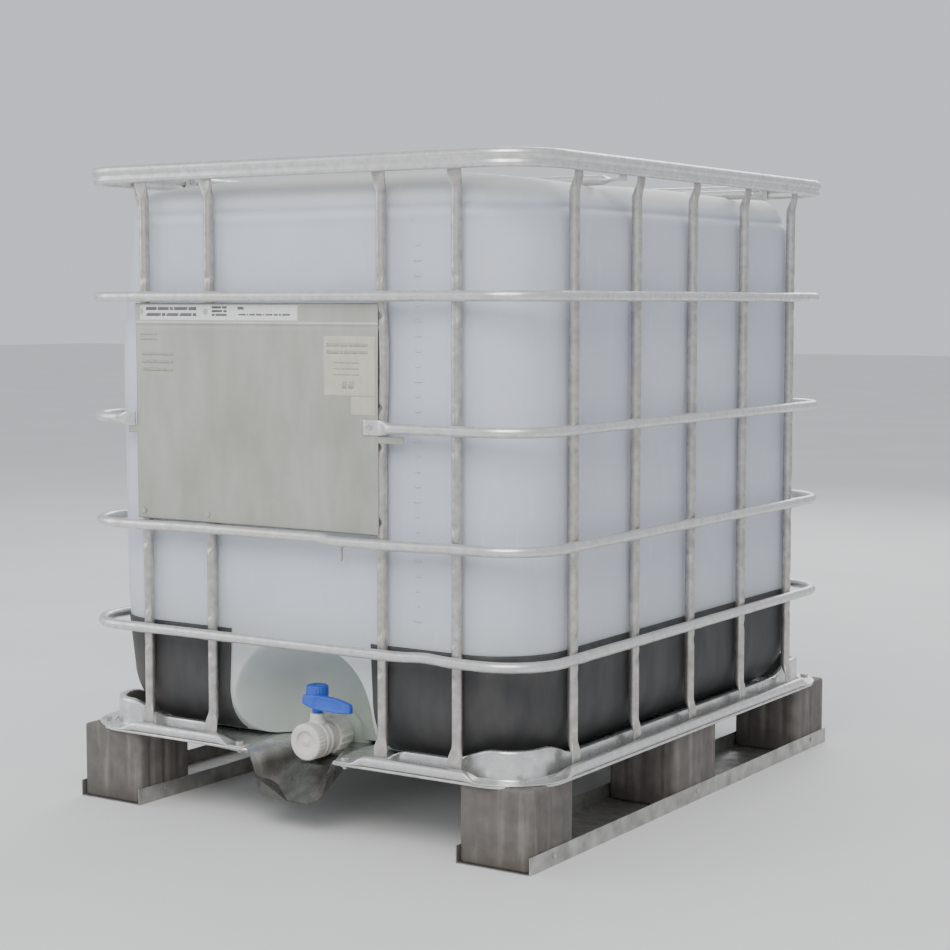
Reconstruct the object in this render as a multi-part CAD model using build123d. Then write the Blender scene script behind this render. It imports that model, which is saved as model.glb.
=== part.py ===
from build123d import *
import math
import os

os.makedirs("parts", exist_ok=True)

# Intermediate bulk container, in millimetres. X runs across the valve face, Y front to back, Z up.
# The origin is on the ground under the middle, and the valve face looks along -Y.
WIDTH = 1000.0
DEPTH = 1200.0
HEIGHT = 1165.0

# Cage of round tube: rings go round outside, uprights stand inside them
TUBE = 18.0
TUBE_WALL = 1.0
CAGE_CORNER = 110.0
RING_LEVELS = (930.6, 712.0, 519.5, 331.5)
RING_END_LEFT = -353.5
RING_END_RIGHT = 156.0
BOTTOM_TUBE_LEVEL = 147.0
WELD_GAP = 0.5
FRONT_UPRIGHTS = (-336.7, -186.3, 186.3, 336.7)
REAR_UPRIGHTS = (-336.7, -168.0, 0.0, 168.0, 336.7)
SIDE_UPRIGHTS = (-428.0, -214.0, 0.0, 214.0, 428.0)
UPRIGHT_ROUND = (190.0, 1100.0)
UPRIGHT_FLAT = (166.0, 1128.0)
UPRIGHT_ENDS = (141.0, 1152.0)
FLAT_WIDTH = 26.0
FLAT_THICK = 2.4
RIM_UPPER = 9.0
RIM_LOWER = 6.5
RIM_WEB = 9.0

# Bars across the top, one each side of the lid, bolted to the rim
CROSS_BAR_Y = 280.0
CROSS_BAR_LEVEL = 1128.0
CROSS_BAR_ROUND = 440.0
CROSS_BAR_FLAT = 462.0
CROSS_BAR_STRIP = 3.0
RIM_BOLT_RADIUS = 3.0
RIM_BOLT_LEVEL = HEIGHT - RIM_UPPER

# Bottle: one blown shell with a recess for the valve, a sump and a neck
BOTTLE_X = 459.0
BOTTLE_Y = 559.0
BOTTLE_BOTTOM = 140.0
BOTTLE_TOP = 1136.0
BOTTLE_CORNER = 105.0
BOTTLE_LOW_ROUND = 100.0
BOTTLE_TOP_ROUND = 55.0
BOTTLE_WALL = 3.0
RECESS_HALF = 148.0
RECESS_TOP = 325.0
RECESS_BACK = -428.0
RECESS_ROUND = 120.0
SUMP_HALF = 60.0
SUMP_BOTTOM = 106.0
SUMP_BACK = -170.0
BAR_CHANNEL = 32.0
BAR_CHANNEL_FLOOR = 1117.0
WELL_RADIUS = 114.0
WELL_FLOOR = 1106.0
NECK_RADIUS = 76.0
NECK_BORE = 70.0
NECK_TOP = 1148.0

# Screw lid with its gasket
LID_RADIUS = 84.0
LID_BORE = 76.4
LID_BOTTOM = 1116.0
LID_TOP = 1157.0
LID_RIBS = 32
GASKET = 3.0
RIB = 1.8

# Butterfly valve in front of the recess, on one axis along Y
VALVE_LEVEL = 151.0
VALVE_BORE = 21.0
BOSS_RADIUS = 27.0
BOSS_FRONT = -468.0
FLANGE_FRONT = -477.0
NUT_FRONT = -482.0
NUT_BACK = -446.0
NUT_RADIUS = 31.0
NUT_RIBS = 16
BARREL_RADIUS = 25.0
COLLAR_BACK = -502.0
COLLAR_FRONT = -525.0
OUTLET_RADIUS = 29.5
OUTLET_FRONT = -536.0
CAP_RADIUS = 33.0
CAP_BACK = -525.4
CAP_FRONT = -548.0
CAP_SEAT = -538.5
CAP_EDGE = 2.0
CAP_DISH = 19.0
CAP_DISH_DEPTH = 6.0
STEM_Y = -511.0
STEM_RADIUS = 7.0
STEM_FIT = 0.05
NECK_TUBE_RADIUS = 13.0
NECK_TUBE_TOP = 198.0
STEM_LOW = 123.0
STEM_SQUARE_FROM = 214.0
STEM_TOP = 238.0
STEM_SQUARE = 9.0
DISC_RADIUS = 20.5
DISC_THICK = 5.0
RING_GROOVES = (180.0, 190.0)
RING_SECTION = 2.0
RING_INNER = 5.5
SEAL_RADIUS = 7.02
HUB_RADIUS = 20.0
HUB_BOTTOM = 226.0
HUB_TOP = 248.0
SLEEVE_RADIUS = 9.5
SLEEVE_BOTTOM = 198.3
LEVER_OUTLINE = (
    (-20.0, 232.0), (20.0, 233.0), (60.0, 229.0), (86.0, 222.0),
    (86.0, 207.0), (40.0, 205.0), (-8.0, 208.0), (-20.0, 218.0),
)
LEVER_ROUND = 3.0
LEVER_THICK = 14.0
LEVER_BACK = -8.0
HUB_EDGE = 2.0
SCREW_RADIUS = 2.5
SCREW_DEPTH = 12.0
SCREW_SEAT = 242.0
SCREW_HEAD = 5.5

# Pressed steel pan under the bottle
LIP_X = 497.0
LIP_Y = 597.0
LIP_CORNER = 102.0
LIP_TOP = 138.0
SHEET = 1.0
RIDGE_X = 462.5
RIDGE_Y = 562.5
RIDGE_WIDE = 14.0
RIDGE_CORNER = 96.0
RIDGE_LOW = 165.0
RIDGE_HIGH = 188.0
RIDGE_RAMP_X = (310.0, 400.0)
RIDGE_RAMP_Y = (400.0, 490.0)
RIDGE_GATE = 155.0
RIDGE_SLOPE = 70.0
CHUTE_TOP_HALF = 98.0
CHUTE_LOW_HALF = 50.0
CHUTE_LOW = 55.0
CHUTE_FRONT = -593.0
CHUTE_BACK = -505.0
TROUGH_HALF = 74.0
TROUGH_FLOOR = 101.5
TROUGH_BACK = -150.0
STRAP_THICK = 3.0
STRAP_WIDE = 28.0
STRAP_RUN = 32.0
TUBE_END_X = 100.0

# Black guard round the foot of the bottle
GUARD_BOTTOM = 175.0
GUARD_TOP = 343.0
GUARD_THICK = 2.0
GUARD_GAP = 0.6
GUARD_GATE_TOP = 153.0
GUARD_GATE_LOW = 162.0

# Label plate hung on the front, between the second ring's ends
PLATE_LEFT = -351.0
PLATE_RIGHT = 186.0
PLATE_BOTTOM = 531.0
PLATE_TOP = 919.0
PLATE_FRONT = -583.4
PLATE_THICK = 0.8
EAR_HEIGHT = 12.0
EAR_LEFT = 21.0
EAR_RIGHT = 52.0
PLATE_SCREW_X = 171.0
RIVET_LEVELS = (545.0, 904.0)
RIVET_RADIUS = 2.4
RIVET_HEAD = 1.2
RIVET_REACH = 6.0

# Feet and runners
FOOT_OUTER = 490.0
FOOT_WIDE = 140.0
FOOT_END = 590.0
FOOT_LONG = 140.0
FOOT_MIDDLE_LONG = 170.0
FOOT_ROUND = 10.0
RUNNER_SHEET = 1.5
RUNNER_END = 595.0
RUNNER_SIDE = 30.0
RUNNER_SCREW_LEVEL = 17.0
RUNNER_SCREW_HEAD = 3.0
FOOT_WALL = 15.0
FOOT_HOLLOW_TOP = 90.0
PAN_BOLT_RADIUS = 5.0
END_BOLT_RADIUS = 4.0
BOLT_HEAD = 8.5
BOLT_HEAD_HEIGHT = 6.0
CORNER_BOLT_LOW = 100.0
END_BOLT_X = 116.0
END_BOLT_LOW = 127.0

RING_X = WIDTH / 2 - TUBE / 2
RING_Y = DEPTH / 2 - TUBE / 2
RING_CORNER = CAGE_CORNER - TUBE / 2
UPRIGHT_X = RING_X - TUBE - WELD_GAP
UPRIGHT_Y = RING_Y - TUBE - WELD_GAP
STRAP_SHIFT = (STRAP_WIDE - TUBE) / 2
STRAP_Y = STRAP_SHIFT - RING_Y
HOLE_FIT = 0.05
LOW = (Align.CENTER, Align.CENTER, Align.MIN)


def save(node, solids):
    """Write one sub-part; loose fellows such as screws share a file as separate solids."""
    shape = solids[0] if len(solids) == 1 else Compound(children=solids)
    export_step(shape, f"parts/{node}.step")


def block(x_range, y_range, z_range):
    """Box between two values on each axis."""
    size = [high - low for low, high in (x_range, y_range, z_range)]
    middle = [(high + low) / 2 for low, high in (x_range, y_range, z_range)]
    return Pos(*middle) * Box(*size)


def upright_cylinder(x, y, radius, low, high):
    """Cylinder along Z."""
    return Pos(x, y, low) * Cylinder(radius, high - low, align=LOW)


def valve_cylinder(radius, front, back):
    """Cylinder about the valve axis, from its front face to its back face."""
    return Pos(0, front, VALVE_LEVEL) * Rot(-90, 0, 0) * Cylinder(radius, back - front, align=LOW)


def swept(profile, wire):
    """Carry a flat profile along a wire; the profile's own X axis points up."""
    start = Plane(origin=wire @ 0, x_dir=(0, 0, 1), z_dir=wire % 0)
    return sweep(start * profile, path=wire)


def ring_wire(level):
    """Centreline of a tube bent round all four sides."""
    return Pos(0, 0, level) * RectangleRounded(2 * RING_X, 2 * RING_Y, RING_CORNER).face().outer_wire()


def tube_section():
    """Wall of the cage tube in section."""
    return Circle(TUBE / 2) - Circle(TUBE / 2 - TUBE_WALL)


def crushed_end(length, flat_width, flat_thick, shift_x, shift_y):
    """Tube end squeezed flat: round at z = 0, flat and moved sideways at z = length."""
    round_end = Circle(TUBE / 2)
    flat_end = Pos(shift_x, shift_y, length) * Rectangle(flat_width, flat_thick)
    return loft([round_end.face(), flat_end.face()])


def cage_ring(level):
    """One closed ring of tube."""
    return swept(tube_section(), ring_wire(level))


def laid(x, y, z, x_dir, z_dir):
    """Place whose own X and Z axes point the given ways."""
    return Plane(origin=(x, y, z), x_dir=x_dir, z_dir=z_dir).location


def open_ring(level):
    """Ring parted on the front, with its two ends crushed flat beside and over the label plate."""
    cut_left = RING_END_LEFT - STRAP_RUN
    cut_right = RING_END_RIGHT + 2 * STRAP_RUN
    ring = cage_ring(level) - block((cut_left, cut_right), (-DEPTH, -DEPTH / 3), (0, HEIGHT))
    tongue_back = PLATE_FRONT - WELD_GAP / 5
    tongue_front = tongue_back - STRAP_THICK
    inward = RING_Y + (tongue_back + tongue_front) / 2
    up = (0, 0, 1)
    left = crushed_end(STRAP_RUN, FLAT_WIDTH, STRAP_THICK, 0, -inward)
    left = laid(cut_left, -RING_Y, level, up, (1, 0, 0)) * left
    right = crushed_end(STRAP_RUN, FLAT_WIDTH, STRAP_THICK, 0, inward)
    right = laid(cut_right, -RING_Y, level, up, (-1, 0, 0)) * right
    levels = (level - FLAT_WIDTH / 2, level + FLAT_WIDTH / 2)
    tongue = block((RING_END_RIGHT, cut_right - STRAP_RUN), (tongue_front, tongue_back), levels)
    tongue -= Pos(PLATE_SCREW_X, tongue_front - 1, level) * Rot(-90, 0, 0) * Cylinder(
        RIVET_RADIUS + HOLE_FIT, TUBE, align=LOW
    )
    return ring + left + right + tongue


def upright(holes):
    """Upright tube with both ends crushed flat; it stands on the origin and faces -Y."""
    flat_offset = FLAT_THICK / 2 - TUBE / 2
    low, high = UPRIGHT_ROUND
    tube = Pos(0, 0, low) * extrude(tube_section(), high - low)
    top_end = Pos(0, 0, high) * crushed_end(UPRIGHT_FLAT[1] - high, FLAT_WIDTH, FLAT_THICK, 0, flat_offset)
    low_end = crushed_end(low - UPRIGHT_FLAT[0], FLAT_WIDTH, FLAT_THICK, 0, flat_offset)
    low_end = Pos(0, 0, low) * Rot(0, 180, 0) * low_end
    shape = tube + top_end + low_end
    tongue_faces = (-TUBE / 2, FLAT_THICK - TUBE / 2)
    half = FLAT_WIDTH / 2
    for z_range in ((UPRIGHT_ENDS[0], UPRIGHT_FLAT[0]), (UPRIGHT_FLAT[1], UPRIGHT_ENDS[1])):
        shape += block((-half, half), tongue_faces, z_range)
    for level in holes:
        hole = Pos(0, -TUBE, level) * Rot(-90, 0, 0) * Cylinder(RIVET_RADIUS + HOLE_FIT, TUBE, align=LOW)
        shape -= hole
    return shape


def build_uprights():
    """Uprights of the four sides, each in its own node."""
    for number, x in enumerate(FRONT_UPRIGHTS, 1):
        holes = RIVET_LEVELS if x < 0 else ()
        save(f"upright_front_{number}", [Pos(x, -UPRIGHT_Y, 0) * upright(holes)])
    for number, x in enumerate(REAR_UPRIGHTS, 1):
        save(f"upright_rear_{number}", [Pos(x, UPRIGHT_Y, 0) * Rot(0, 0, 180) * upright(())])
    for number, y in enumerate(SIDE_UPRIGHTS, 1):
        save(f"upright_left_{number}", [Pos(-UPRIGHT_X, y, 0) * Rot(0, 0, -90) * upright(())])
        save(f"upright_right_{number}", [Pos(UPRIGHT_X, y, 0) * Rot(0, 0, 90) * upright(())])


def rim_section(inset):
    """Top rim in section: a large lobe over a small one, drawn with X up."""
    upper = Pos(RIM_LOWER, 0) * Circle(RIM_UPPER - inset)
    lower = Pos(-RIM_UPPER, 0) * Circle(RIM_LOWER - inset)
    web = Rectangle(RIM_UPPER + RIM_LOWER, RIM_WEB - 2 * inset)
    return upper + lower + web


def rim_bolt_spots():
    """Each bar end, as a place on the rim whose own X axis points outwards."""
    spots = []
    for y in (-CROSS_BAR_Y, CROSS_BAR_Y):
        spots.append(Location((0, y, RIM_BOLT_LEVEL)))
        spots.append(Location((0, y, RIM_BOLT_LEVEL), (0, 0, 180)))
    return spots


def along_x(radius, inner, outer):
    """Cylinder along X between two distances from the middle."""
    return Pos(inner, 0, 0) * Rot(0, 90, 0) * Cylinder(radius, outer - inner, align=LOW)


def build_top_rim():
    """Double-lobed rim with a hole in its inner wall for each bar bolt."""
    level = HEIGHT - RIM_UPPER - RIM_LOWER
    wire = ring_wire(level)
    rim = swept(rim_section(0), wire) - swept(rim_section(TUBE_WALL), wire)
    hole = along_x(RIM_BOLT_RADIUS + HOLE_FIT, RING_X - TUBE, RING_X)
    for spot in rim_bolt_spots():
        rim -= spot * hole
    save("top_rim", [rim])


def cross_bar():
    """Tube across the top with crushed ends bent up against the rim."""
    half_flat = FLAT_WIDTH / 2
    strip_outer = RING_X - RIM_UPPER - WELD_GAP
    strip_inner = strip_outer - CROSS_BAR_STRIP
    bolt_hole = along_x(RIM_BOLT_RADIUS + HOLE_FIT, strip_inner - TUBE, strip_outer + TUBE)
    bar = Rot(0, 90, 0) * extrude(tube_section(), CROSS_BAR_ROUND, both=True)
    crush = Rot(0, 90, 0) * Rot(0, 0, 90) * crushed_end(
        CROSS_BAR_FLAT - CROSS_BAR_ROUND, FLAT_WIDTH, CROSS_BAR_STRIP, 0, 0
    )
    end = Pos(CROSS_BAR_ROUND, 0, 0) * crush
    half_strip = CROSS_BAR_STRIP / 2
    end += block((CROSS_BAR_FLAT, strip_outer), (-half_flat, half_flat), (-half_strip, half_strip))
    rise = HEIGHT - CROSS_BAR_STRIP - CROSS_BAR_LEVEL
    end += block((strip_inner, strip_outer), (-half_flat, half_flat), (-half_strip, rise))
    end -= Pos(0, 0, RIM_BOLT_LEVEL - CROSS_BAR_LEVEL) * bolt_hole
    return bar + end + Rot(0, 0, 180) * end


def build_cross_bars():
    """The two bars and their four bolts."""
    save("cross_bar_front", [Pos(0, -CROSS_BAR_Y, CROSS_BAR_LEVEL) * cross_bar()])
    save("cross_bar_rear", [Pos(0, CROSS_BAR_Y, CROSS_BAR_LEVEL) * cross_bar()])
    strip_inner = RING_X - RIM_UPPER - WELD_GAP - CROSS_BAR_STRIP
    head = Rot(0, 90, 0) * extrude(RegularPolygon(BOLT_HEAD - 2, 6), CROSS_BAR_STRIP + 1)
    bolt = Pos(strip_inner - CROSS_BAR_STRIP - 1, 0, 0) * head
    bolt += along_x(RIM_BOLT_RADIUS, strip_inner - 1, RING_X - TUBE_WALL)
    save("cross_bar_bolts", [spot * bolt for spot in rim_bolt_spots()])


def rounded_form(inset):
    """Body of the bottle, drawn in by an inset on every side."""
    outline = RectangleRounded(2 * (BOTTLE_X - inset), 2 * (BOTTLE_Y - inset), BOTTLE_CORNER - inset)
    height = BOTTLE_TOP - BOTTLE_BOTTOM - 2 * inset
    form = Pos(0, 0, BOTTLE_BOTTOM + inset) * extrude(outline, height)
    form = fillet(form.faces().sort_by(Axis.Z)[-1].edges(), BOTTLE_TOP_ROUND - inset)
    return fillet(form.faces().sort_by(Axis.Z)[0].edges(), BOTTLE_LOW_ROUND - inset)


def recess_form(grow):
    """Space of the valve recess: arched above, open in front and below."""
    top = RECESS_TOP + grow
    arch = Pos(0, (top + SUMP_BOTTOM) / 2) * Rectangle(2 * (RECESS_HALF + grow), top - SUMP_BOTTOM)
    arch = fillet(arch.vertices().group_by(Axis.Y)[-1], RECESS_ROUND + grow)
    return Pos(0, RECESS_BACK + grow, 0) * extrude(Plane.XZ * arch, DEPTH / 4)


def bottle_form(inset):
    """Whole bottle form: body, sump, recess, channels for the bars and the well of the lid."""
    form = rounded_form(inset)
    sump = block(
        (inset - SUMP_HALF, SUMP_HALF - inset),
        (RECESS_BACK + inset, SUMP_BACK - inset),
        (SUMP_BOTTOM + inset, BOTTLE_BOTTOM + BOTTLE_LOW_ROUND),
    )
    form += sump
    form -= recess_form(inset)
    half_channel = BAR_CHANNEL / 2 + inset
    for y in (-CROSS_BAR_Y, CROSS_BAR_Y):
        floor = BAR_CHANNEL_FLOOR - inset
        form -= block((-WIDTH / 2, WIDTH / 2), (y - half_channel, y + half_channel), (floor, HEIGHT))
    return form - upright_cylinder(0, 0, WELL_RADIUS + inset, WELL_FLOOR - inset, HEIGHT)


def build_bottle():
    """Hollow bottle with its neck above and its outlet boss in the recess."""
    shell = bottle_form(0) - bottle_form(BOTTLE_WALL)
    shell += upright_cylinder(0, 0, NECK_RADIUS, WELL_FLOOR - BOTTLE_WALL, NECK_TOP)
    shell += valve_cylinder(BOSS_RADIUS, BOSS_FRONT, RECESS_BACK + BOTTLE_WALL)
    shell -= upright_cylinder(0, 0, NECK_BORE, WELL_FLOOR - 2 * BOTTLE_WALL, HEIGHT)
    shell -= valve_cylinder(VALVE_BORE, BOSS_FRONT - 1, RECESS_BACK + 2 * BOTTLE_WALL)
    save("bottle", [shell])


def build_lid():
    """Screw lid with grip ribs and a hexagon, and the gasket under it."""
    seat = NECK_TOP + GASKET
    lid = upright_cylinder(0, 0, LID_RADIUS, LID_BOTTOM, LID_TOP)
    lid = fillet(lid.faces().sort_by(Axis.Z)[-1].edges(), GASKET)
    lid -= upright_cylinder(0, 0, LID_BORE, LID_BOTTOM - 1, seat)
    rib = block((LID_RADIUS - 1, LID_RADIUS + RIB), (-RIB, RIB), (LID_BOTTOM, LID_TOP - 2 * GASKET))
    for number in range(LID_RIBS):
        lid += Rot(0, 0, number * 360 / LID_RIBS) * rib
    hexagon = extrude(RegularPolygon(LID_RADIUS / 3, 6), HEIGHT - GASKET - LID_TOP)
    lid += Pos(0, 0, LID_TOP) * hexagon
    save("fill_lid", [lid])
    gasket = upright_cylinder(0, 0, NECK_RADIUS, NECK_TOP, seat)
    save("lid_gasket", [gasket - upright_cylinder(0, 0, NECK_BORE, NECK_TOP - 1, seat + 1)])


def build_valve_body():
    """Valve body: outlet, collar, barrel and flange in line, and the tube of the stem above."""
    body = valve_cylinder(OUTLET_RADIUS, OUTLET_FRONT, COLLAR_FRONT)
    body += valve_cylinder(CAP_RADIUS, COLLAR_FRONT, COLLAR_BACK)
    body += valve_cylinder(BARREL_RADIUS, COLLAR_BACK, FLANGE_FRONT)
    body += valve_cylinder(BOSS_RADIUS, FLANGE_FRONT, BOSS_FRONT - GASKET)
    body += upright_cylinder(0, STEM_Y, NECK_TUBE_RADIUS, VALVE_LEVEL, NECK_TUBE_TOP)
    body -= valve_cylinder(VALVE_BORE, OUTLET_FRONT - 1, BOSS_FRONT)
    body -= upright_cylinder(0, STEM_Y, STEM_RADIUS + STEM_FIT, STEM_LOW, HUB_TOP)
    save("valve_body", [body])
    gasket = valve_cylinder(BOSS_RADIUS, BOSS_FRONT - GASKET, BOSS_FRONT)
    save("union_gasket", [gasket - valve_cylinder(VALVE_BORE, BOSS_FRONT - GASKET - 1, BOSS_FRONT + 1)])


def build_union_nut():
    """Ribbed nut that pulls the valve's flange against the boss."""
    nut = valve_cylinder(NUT_RADIUS, NUT_FRONT, NUT_BACK)
    rib = block((NUT_RADIUS - 1, NUT_RADIUS + RIB), (NUT_FRONT, NUT_BACK), (-RIB, RIB))
    for number in range(NUT_RIBS):
        nut += Pos(0, 0, VALVE_LEVEL) * Rot(0, number * 360 / NUT_RIBS, 0) * rib
    nut -= valve_cylinder(BOSS_RADIUS + WELD_GAP / 2, FLANGE_FRONT - HOLE_FIT, NUT_BACK + 1)
    nut -= valve_cylinder(BARREL_RADIUS + WELD_GAP / 2, NUT_FRONT - 1, NUT_BACK)
    save("union_nut", [nut])


def build_stem():
    """Stem with a square head, the disc it turns, and the two ring seals in its grooves."""
    stem = upright_cylinder(0, STEM_Y, STEM_RADIUS, STEM_LOW, STEM_SQUARE_FROM)
    half_square = STEM_SQUARE / 2
    stem += Pos(0, STEM_Y, 0) * block(
        (-half_square, half_square), (-half_square, half_square), (STEM_SQUARE_FROM, STEM_TOP)
    )
    rings = []
    for level in RING_GROOVES:
        seal = upright_cylinder(0, STEM_Y, SEAL_RADIUS, level, level + RING_SECTION)
        seal -= upright_cylinder(0, STEM_Y, RING_INNER, level, level + RING_SECTION)
        stem -= seal
        rings.append(seal)
    stem -= upright_cylinder(0, STEM_Y, SCREW_RADIUS + HOLE_FIT, STEM_TOP - SCREW_DEPTH - 2, STEM_TOP)
    half_disc = DISC_THICK / 2 + HOLE_FIT
    slot_half = DISC_RADIUS + HOLE_FIT
    slot = block((-slot_half, slot_half), (-half_disc, half_disc), (-slot_half, slot_half))
    stem -= Pos(0, STEM_Y, VALVE_LEVEL) * slot
    disc = valve_cylinder(DISC_RADIUS, STEM_Y - DISC_THICK / 2, STEM_Y + DISC_THICK / 2)
    save("valve_stem", [stem])
    save("valve_disc", [disc])
    save("stem_seals", rings)


def build_handle():
    """Lever handle on the square, held down by one screw."""
    half_square = STEM_SQUARE / 2 + STEM_FIT
    hub = upright_cylinder(0, 0, HUB_RADIUS, HUB_BOTTOM, HUB_TOP)
    hub = fillet(hub.faces().sort_by(Axis.Z)[-1].edges(), HUB_EDGE)
    hub += upright_cylinder(0, 0, SLEEVE_RADIUS, SLEEVE_BOTTOM, HUB_BOTTOM)
    blade = make_face(Polyline(*LEVER_OUTLINE, close=True))
    blade = fillet(blade.vertices(), LEVER_ROUND)
    lever = Pos(0, LEVER_BACK, 0) * extrude(Plane.XZ * blade, LEVER_THICK)
    handle = hub + lever
    handle -= upright_cylinder(0, 0, STEM_RADIUS + STEM_FIT, SLEEVE_BOTTOM - 1, STEM_SQUARE_FROM + 1)
    handle -= block((-half_square, half_square), (-half_square, half_square), (SLEEVE_BOTTOM, STEM_TOP + 1))
    handle -= upright_cylinder(0, 0, SCREW_HEAD + WELD_GAP, SCREW_SEAT, HUB_TOP + 1)
    handle -= upright_cylinder(0, 0, SCREW_RADIUS + HOLE_FIT, STEM_TOP, HUB_TOP)
    save("handle", [Pos(0, STEM_Y, 0) * handle])
    screw = upright_cylinder(0, STEM_Y, SCREW_RADIUS, STEM_TOP - SCREW_DEPTH, SCREW_SEAT)
    screw += upright_cylinder(0, STEM_Y, SCREW_HEAD, SCREW_SEAT, HUB_TOP - HUB_EDGE)
    save("handle_screw", [screw])


def build_outlet_cap():
    """Screw cap with a dished face, and the gasket in it."""
    cap = valve_cylinder(CAP_RADIUS, CAP_FRONT, CAP_BACK)
    cap = fillet(cap.faces().sort_by(Axis.Y)[0].edges(), CAP_EDGE)
    cap -= valve_cylinder(CAP_DISH, CAP_FRONT - 1, CAP_FRONT + CAP_DISH_DEPTH)
    cap += valve_cylinder(CAP_DISH / 3, CAP_FRONT + 1, CAP_FRONT + CAP_DISH_DEPTH)
    cap -= valve_cylinder(OUTLET_RADIUS + WELD_GAP / 2, CAP_SEAT, CAP_BACK + 1)
    save("outlet_cap", [cap])
    gasket = valve_cylinder(OUTLET_RADIUS, CAP_SEAT, OUTLET_FRONT)
    save("cap_gasket", [gasket - valve_cylinder(VALVE_BORE + 2, CAP_SEAT - 1, OUTLET_FRONT + 1)])


def corner_bolt_places():
    """Middle of each corner arc, where a bolt goes down through strap and lip into the foot."""
    reach = (RING_CORNER - STRAP_SHIFT) * math.sqrt(0.5)
    x = RING_X - RING_CORNER + reach
    y = RING_Y - RING_CORNER + reach
    return [(x, y), (-x, y), (-x, -y), (x, -y)]


def corner_spots(x, y):
    """The four corners, each turned so that its own first quadrant points outwards."""
    return [
        Location((x, y, 0)),
        Location((-x, y, 0), (0, 0, 90)),
        Location((-x, -y, 0), (0, 0, 180)),
        Location((x, -y, 0), (0, 0, 270)),
    ]


def crest_outline(near, far, end, base, low, high):
    """Outline of the crest seen square on: low in the middle, high past the ramps at both ends."""
    right = [(near, low), (far, high), (end, high), (end, base)]
    left = [(-x, z) for x, z in reversed(right)]
    return make_face(Polyline(*left, *right, close=True))


def ridge_heights(drop):
    """Space under the ridge's crest: low along the sides, rising at the corners, nothing at the gate."""
    base = LIP_TOP - 2 * SHEET
    low = RIDGE_LOW - drop
    high = RIDGE_HIGH - drop
    front_view = crest_outline(*RIDGE_RAMP_X, WIDTH / 2, base, low, high)
    side_view = crest_outline(*RIDGE_RAMP_Y, DEPTH / 2, base, low, high)
    space = extrude(Plane.XZ * front_view, DEPTH / 2, both=True)
    space &= extrude(Plane.YZ * side_view, WIDTH / 2, both=True)
    slope = [(RIDGE_GATE, base), (RIDGE_GATE + RIDGE_SLOPE, low), (RIDGE_GATE + RIDGE_SLOPE, HEIGHT)]
    gate = make_face(Polyline(*[(-x, z) for x, z in reversed(slope)], *slope, close=True))
    return space - Pos(0, -DEPTH / 3, 0) * extrude(Plane.XZ * gate, DEPTH / 3)


def ridge_band(outer, inner, low, high):
    """Rounded rectangular band between two distances inside the ridge's outer face."""
    band = RectangleRounded(2 * (RIDGE_X - outer), 2 * (RIDGE_Y - outer), RIDGE_CORNER - outer)
    band -= RectangleRounded(2 * (RIDGE_X - inner), 2 * (RIDGE_Y - inner), RIDGE_CORNER - inner)
    return Pos(0, 0, low) * extrude(band, high - low)


def chute(grow):
    """Space of the chute under the valve: a wide mouth in front, narrowing to the trough."""
    top = LIP_TOP + SHEET - grow

    def mouth(y, top_half, low_half, low):
        corners = ((-top_half, top), (top_half, top), (low_half, low), (-low_half, low))
        return Face(Wire.make_polygon([(x, y, z) for x, z in corners], close=True))

    front = mouth(CHUTE_FRONT - SHEET + grow, CHUTE_TOP_HALF + grow, CHUTE_LOW_HALF + grow, CHUTE_LOW - grow)
    back = mouth(CHUTE_BACK, TROUGH_HALF + grow, TROUGH_HALF + grow, TROUGH_FLOOR - grow)
    trough = block(
        (-TROUGH_HALF - grow, TROUGH_HALF + grow),
        (CHUTE_BACK, TROUGH_BACK + grow),
        (TROUGH_FLOOR - grow, top),
    )
    return loft([front, back], ruled=True) + trough


def build_pan():
    """Pressed pan: flat lip and floor, folded ridge, and the chute and trough under the valve."""
    plate = RectangleRounded(2 * LIP_X, 2 * LIP_Y, LIP_CORNER)
    pan = Pos(0, 0, LIP_TOP - SHEET) * extrude(plate, SHEET)
    pan += ridge_band(0, RIDGE_WIDE, LIP_TOP - SHEET, RIDGE_HIGH) & ridge_heights(0)
    inner_low = LIP_TOP - 2 * SHEET
    pan -= ridge_band(SHEET, RIDGE_WIDE - SHEET, inner_low, RIDGE_HIGH) & ridge_heights(SHEET)
    pan += chute(SHEET)
    pan -= chute(0)
    pan -= block((-CHUTE_TOP_HALF, CHUTE_TOP_HALF), (-DEPTH / 2, CHUTE_FRONT), (inner_low, LIP_TOP + SHEET))
    for x, y in corner_bolt_places():
        pan -= upright_cylinder(x, y, PAN_BOLT_RADIUS + HOLE_FIT, inner_low, HEIGHT)
    for x in (-END_BOLT_X, END_BOLT_X):
        pan -= upright_cylinder(x, STRAP_Y, END_BOLT_RADIUS + HOLE_FIT, inner_low, HEIGHT)
    save("pan", [pan])


def strap_run(length, shift):
    """Straight tube along Z with both ends crushed down to -Y; shift moves the flats along X."""
    run = length - 2 * STRAP_RUN
    drop = BOTTOM_TUBE_LEVEL - LIP_TOP - STRAP_THICK / 2
    shape = Pos(0, 0, STRAP_RUN) * extrude(tube_section(), run)
    shape += Pos(0, 0, STRAP_RUN + run) * crushed_end(STRAP_RUN, STRAP_WIDE, STRAP_THICK, shift, -drop)
    low_end = crushed_end(STRAP_RUN, STRAP_WIDE, STRAP_THICK, -shift, -drop)
    return shape + Pos(0, 0, STRAP_RUN) * Rot(0, 180, 0) * low_end


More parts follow.
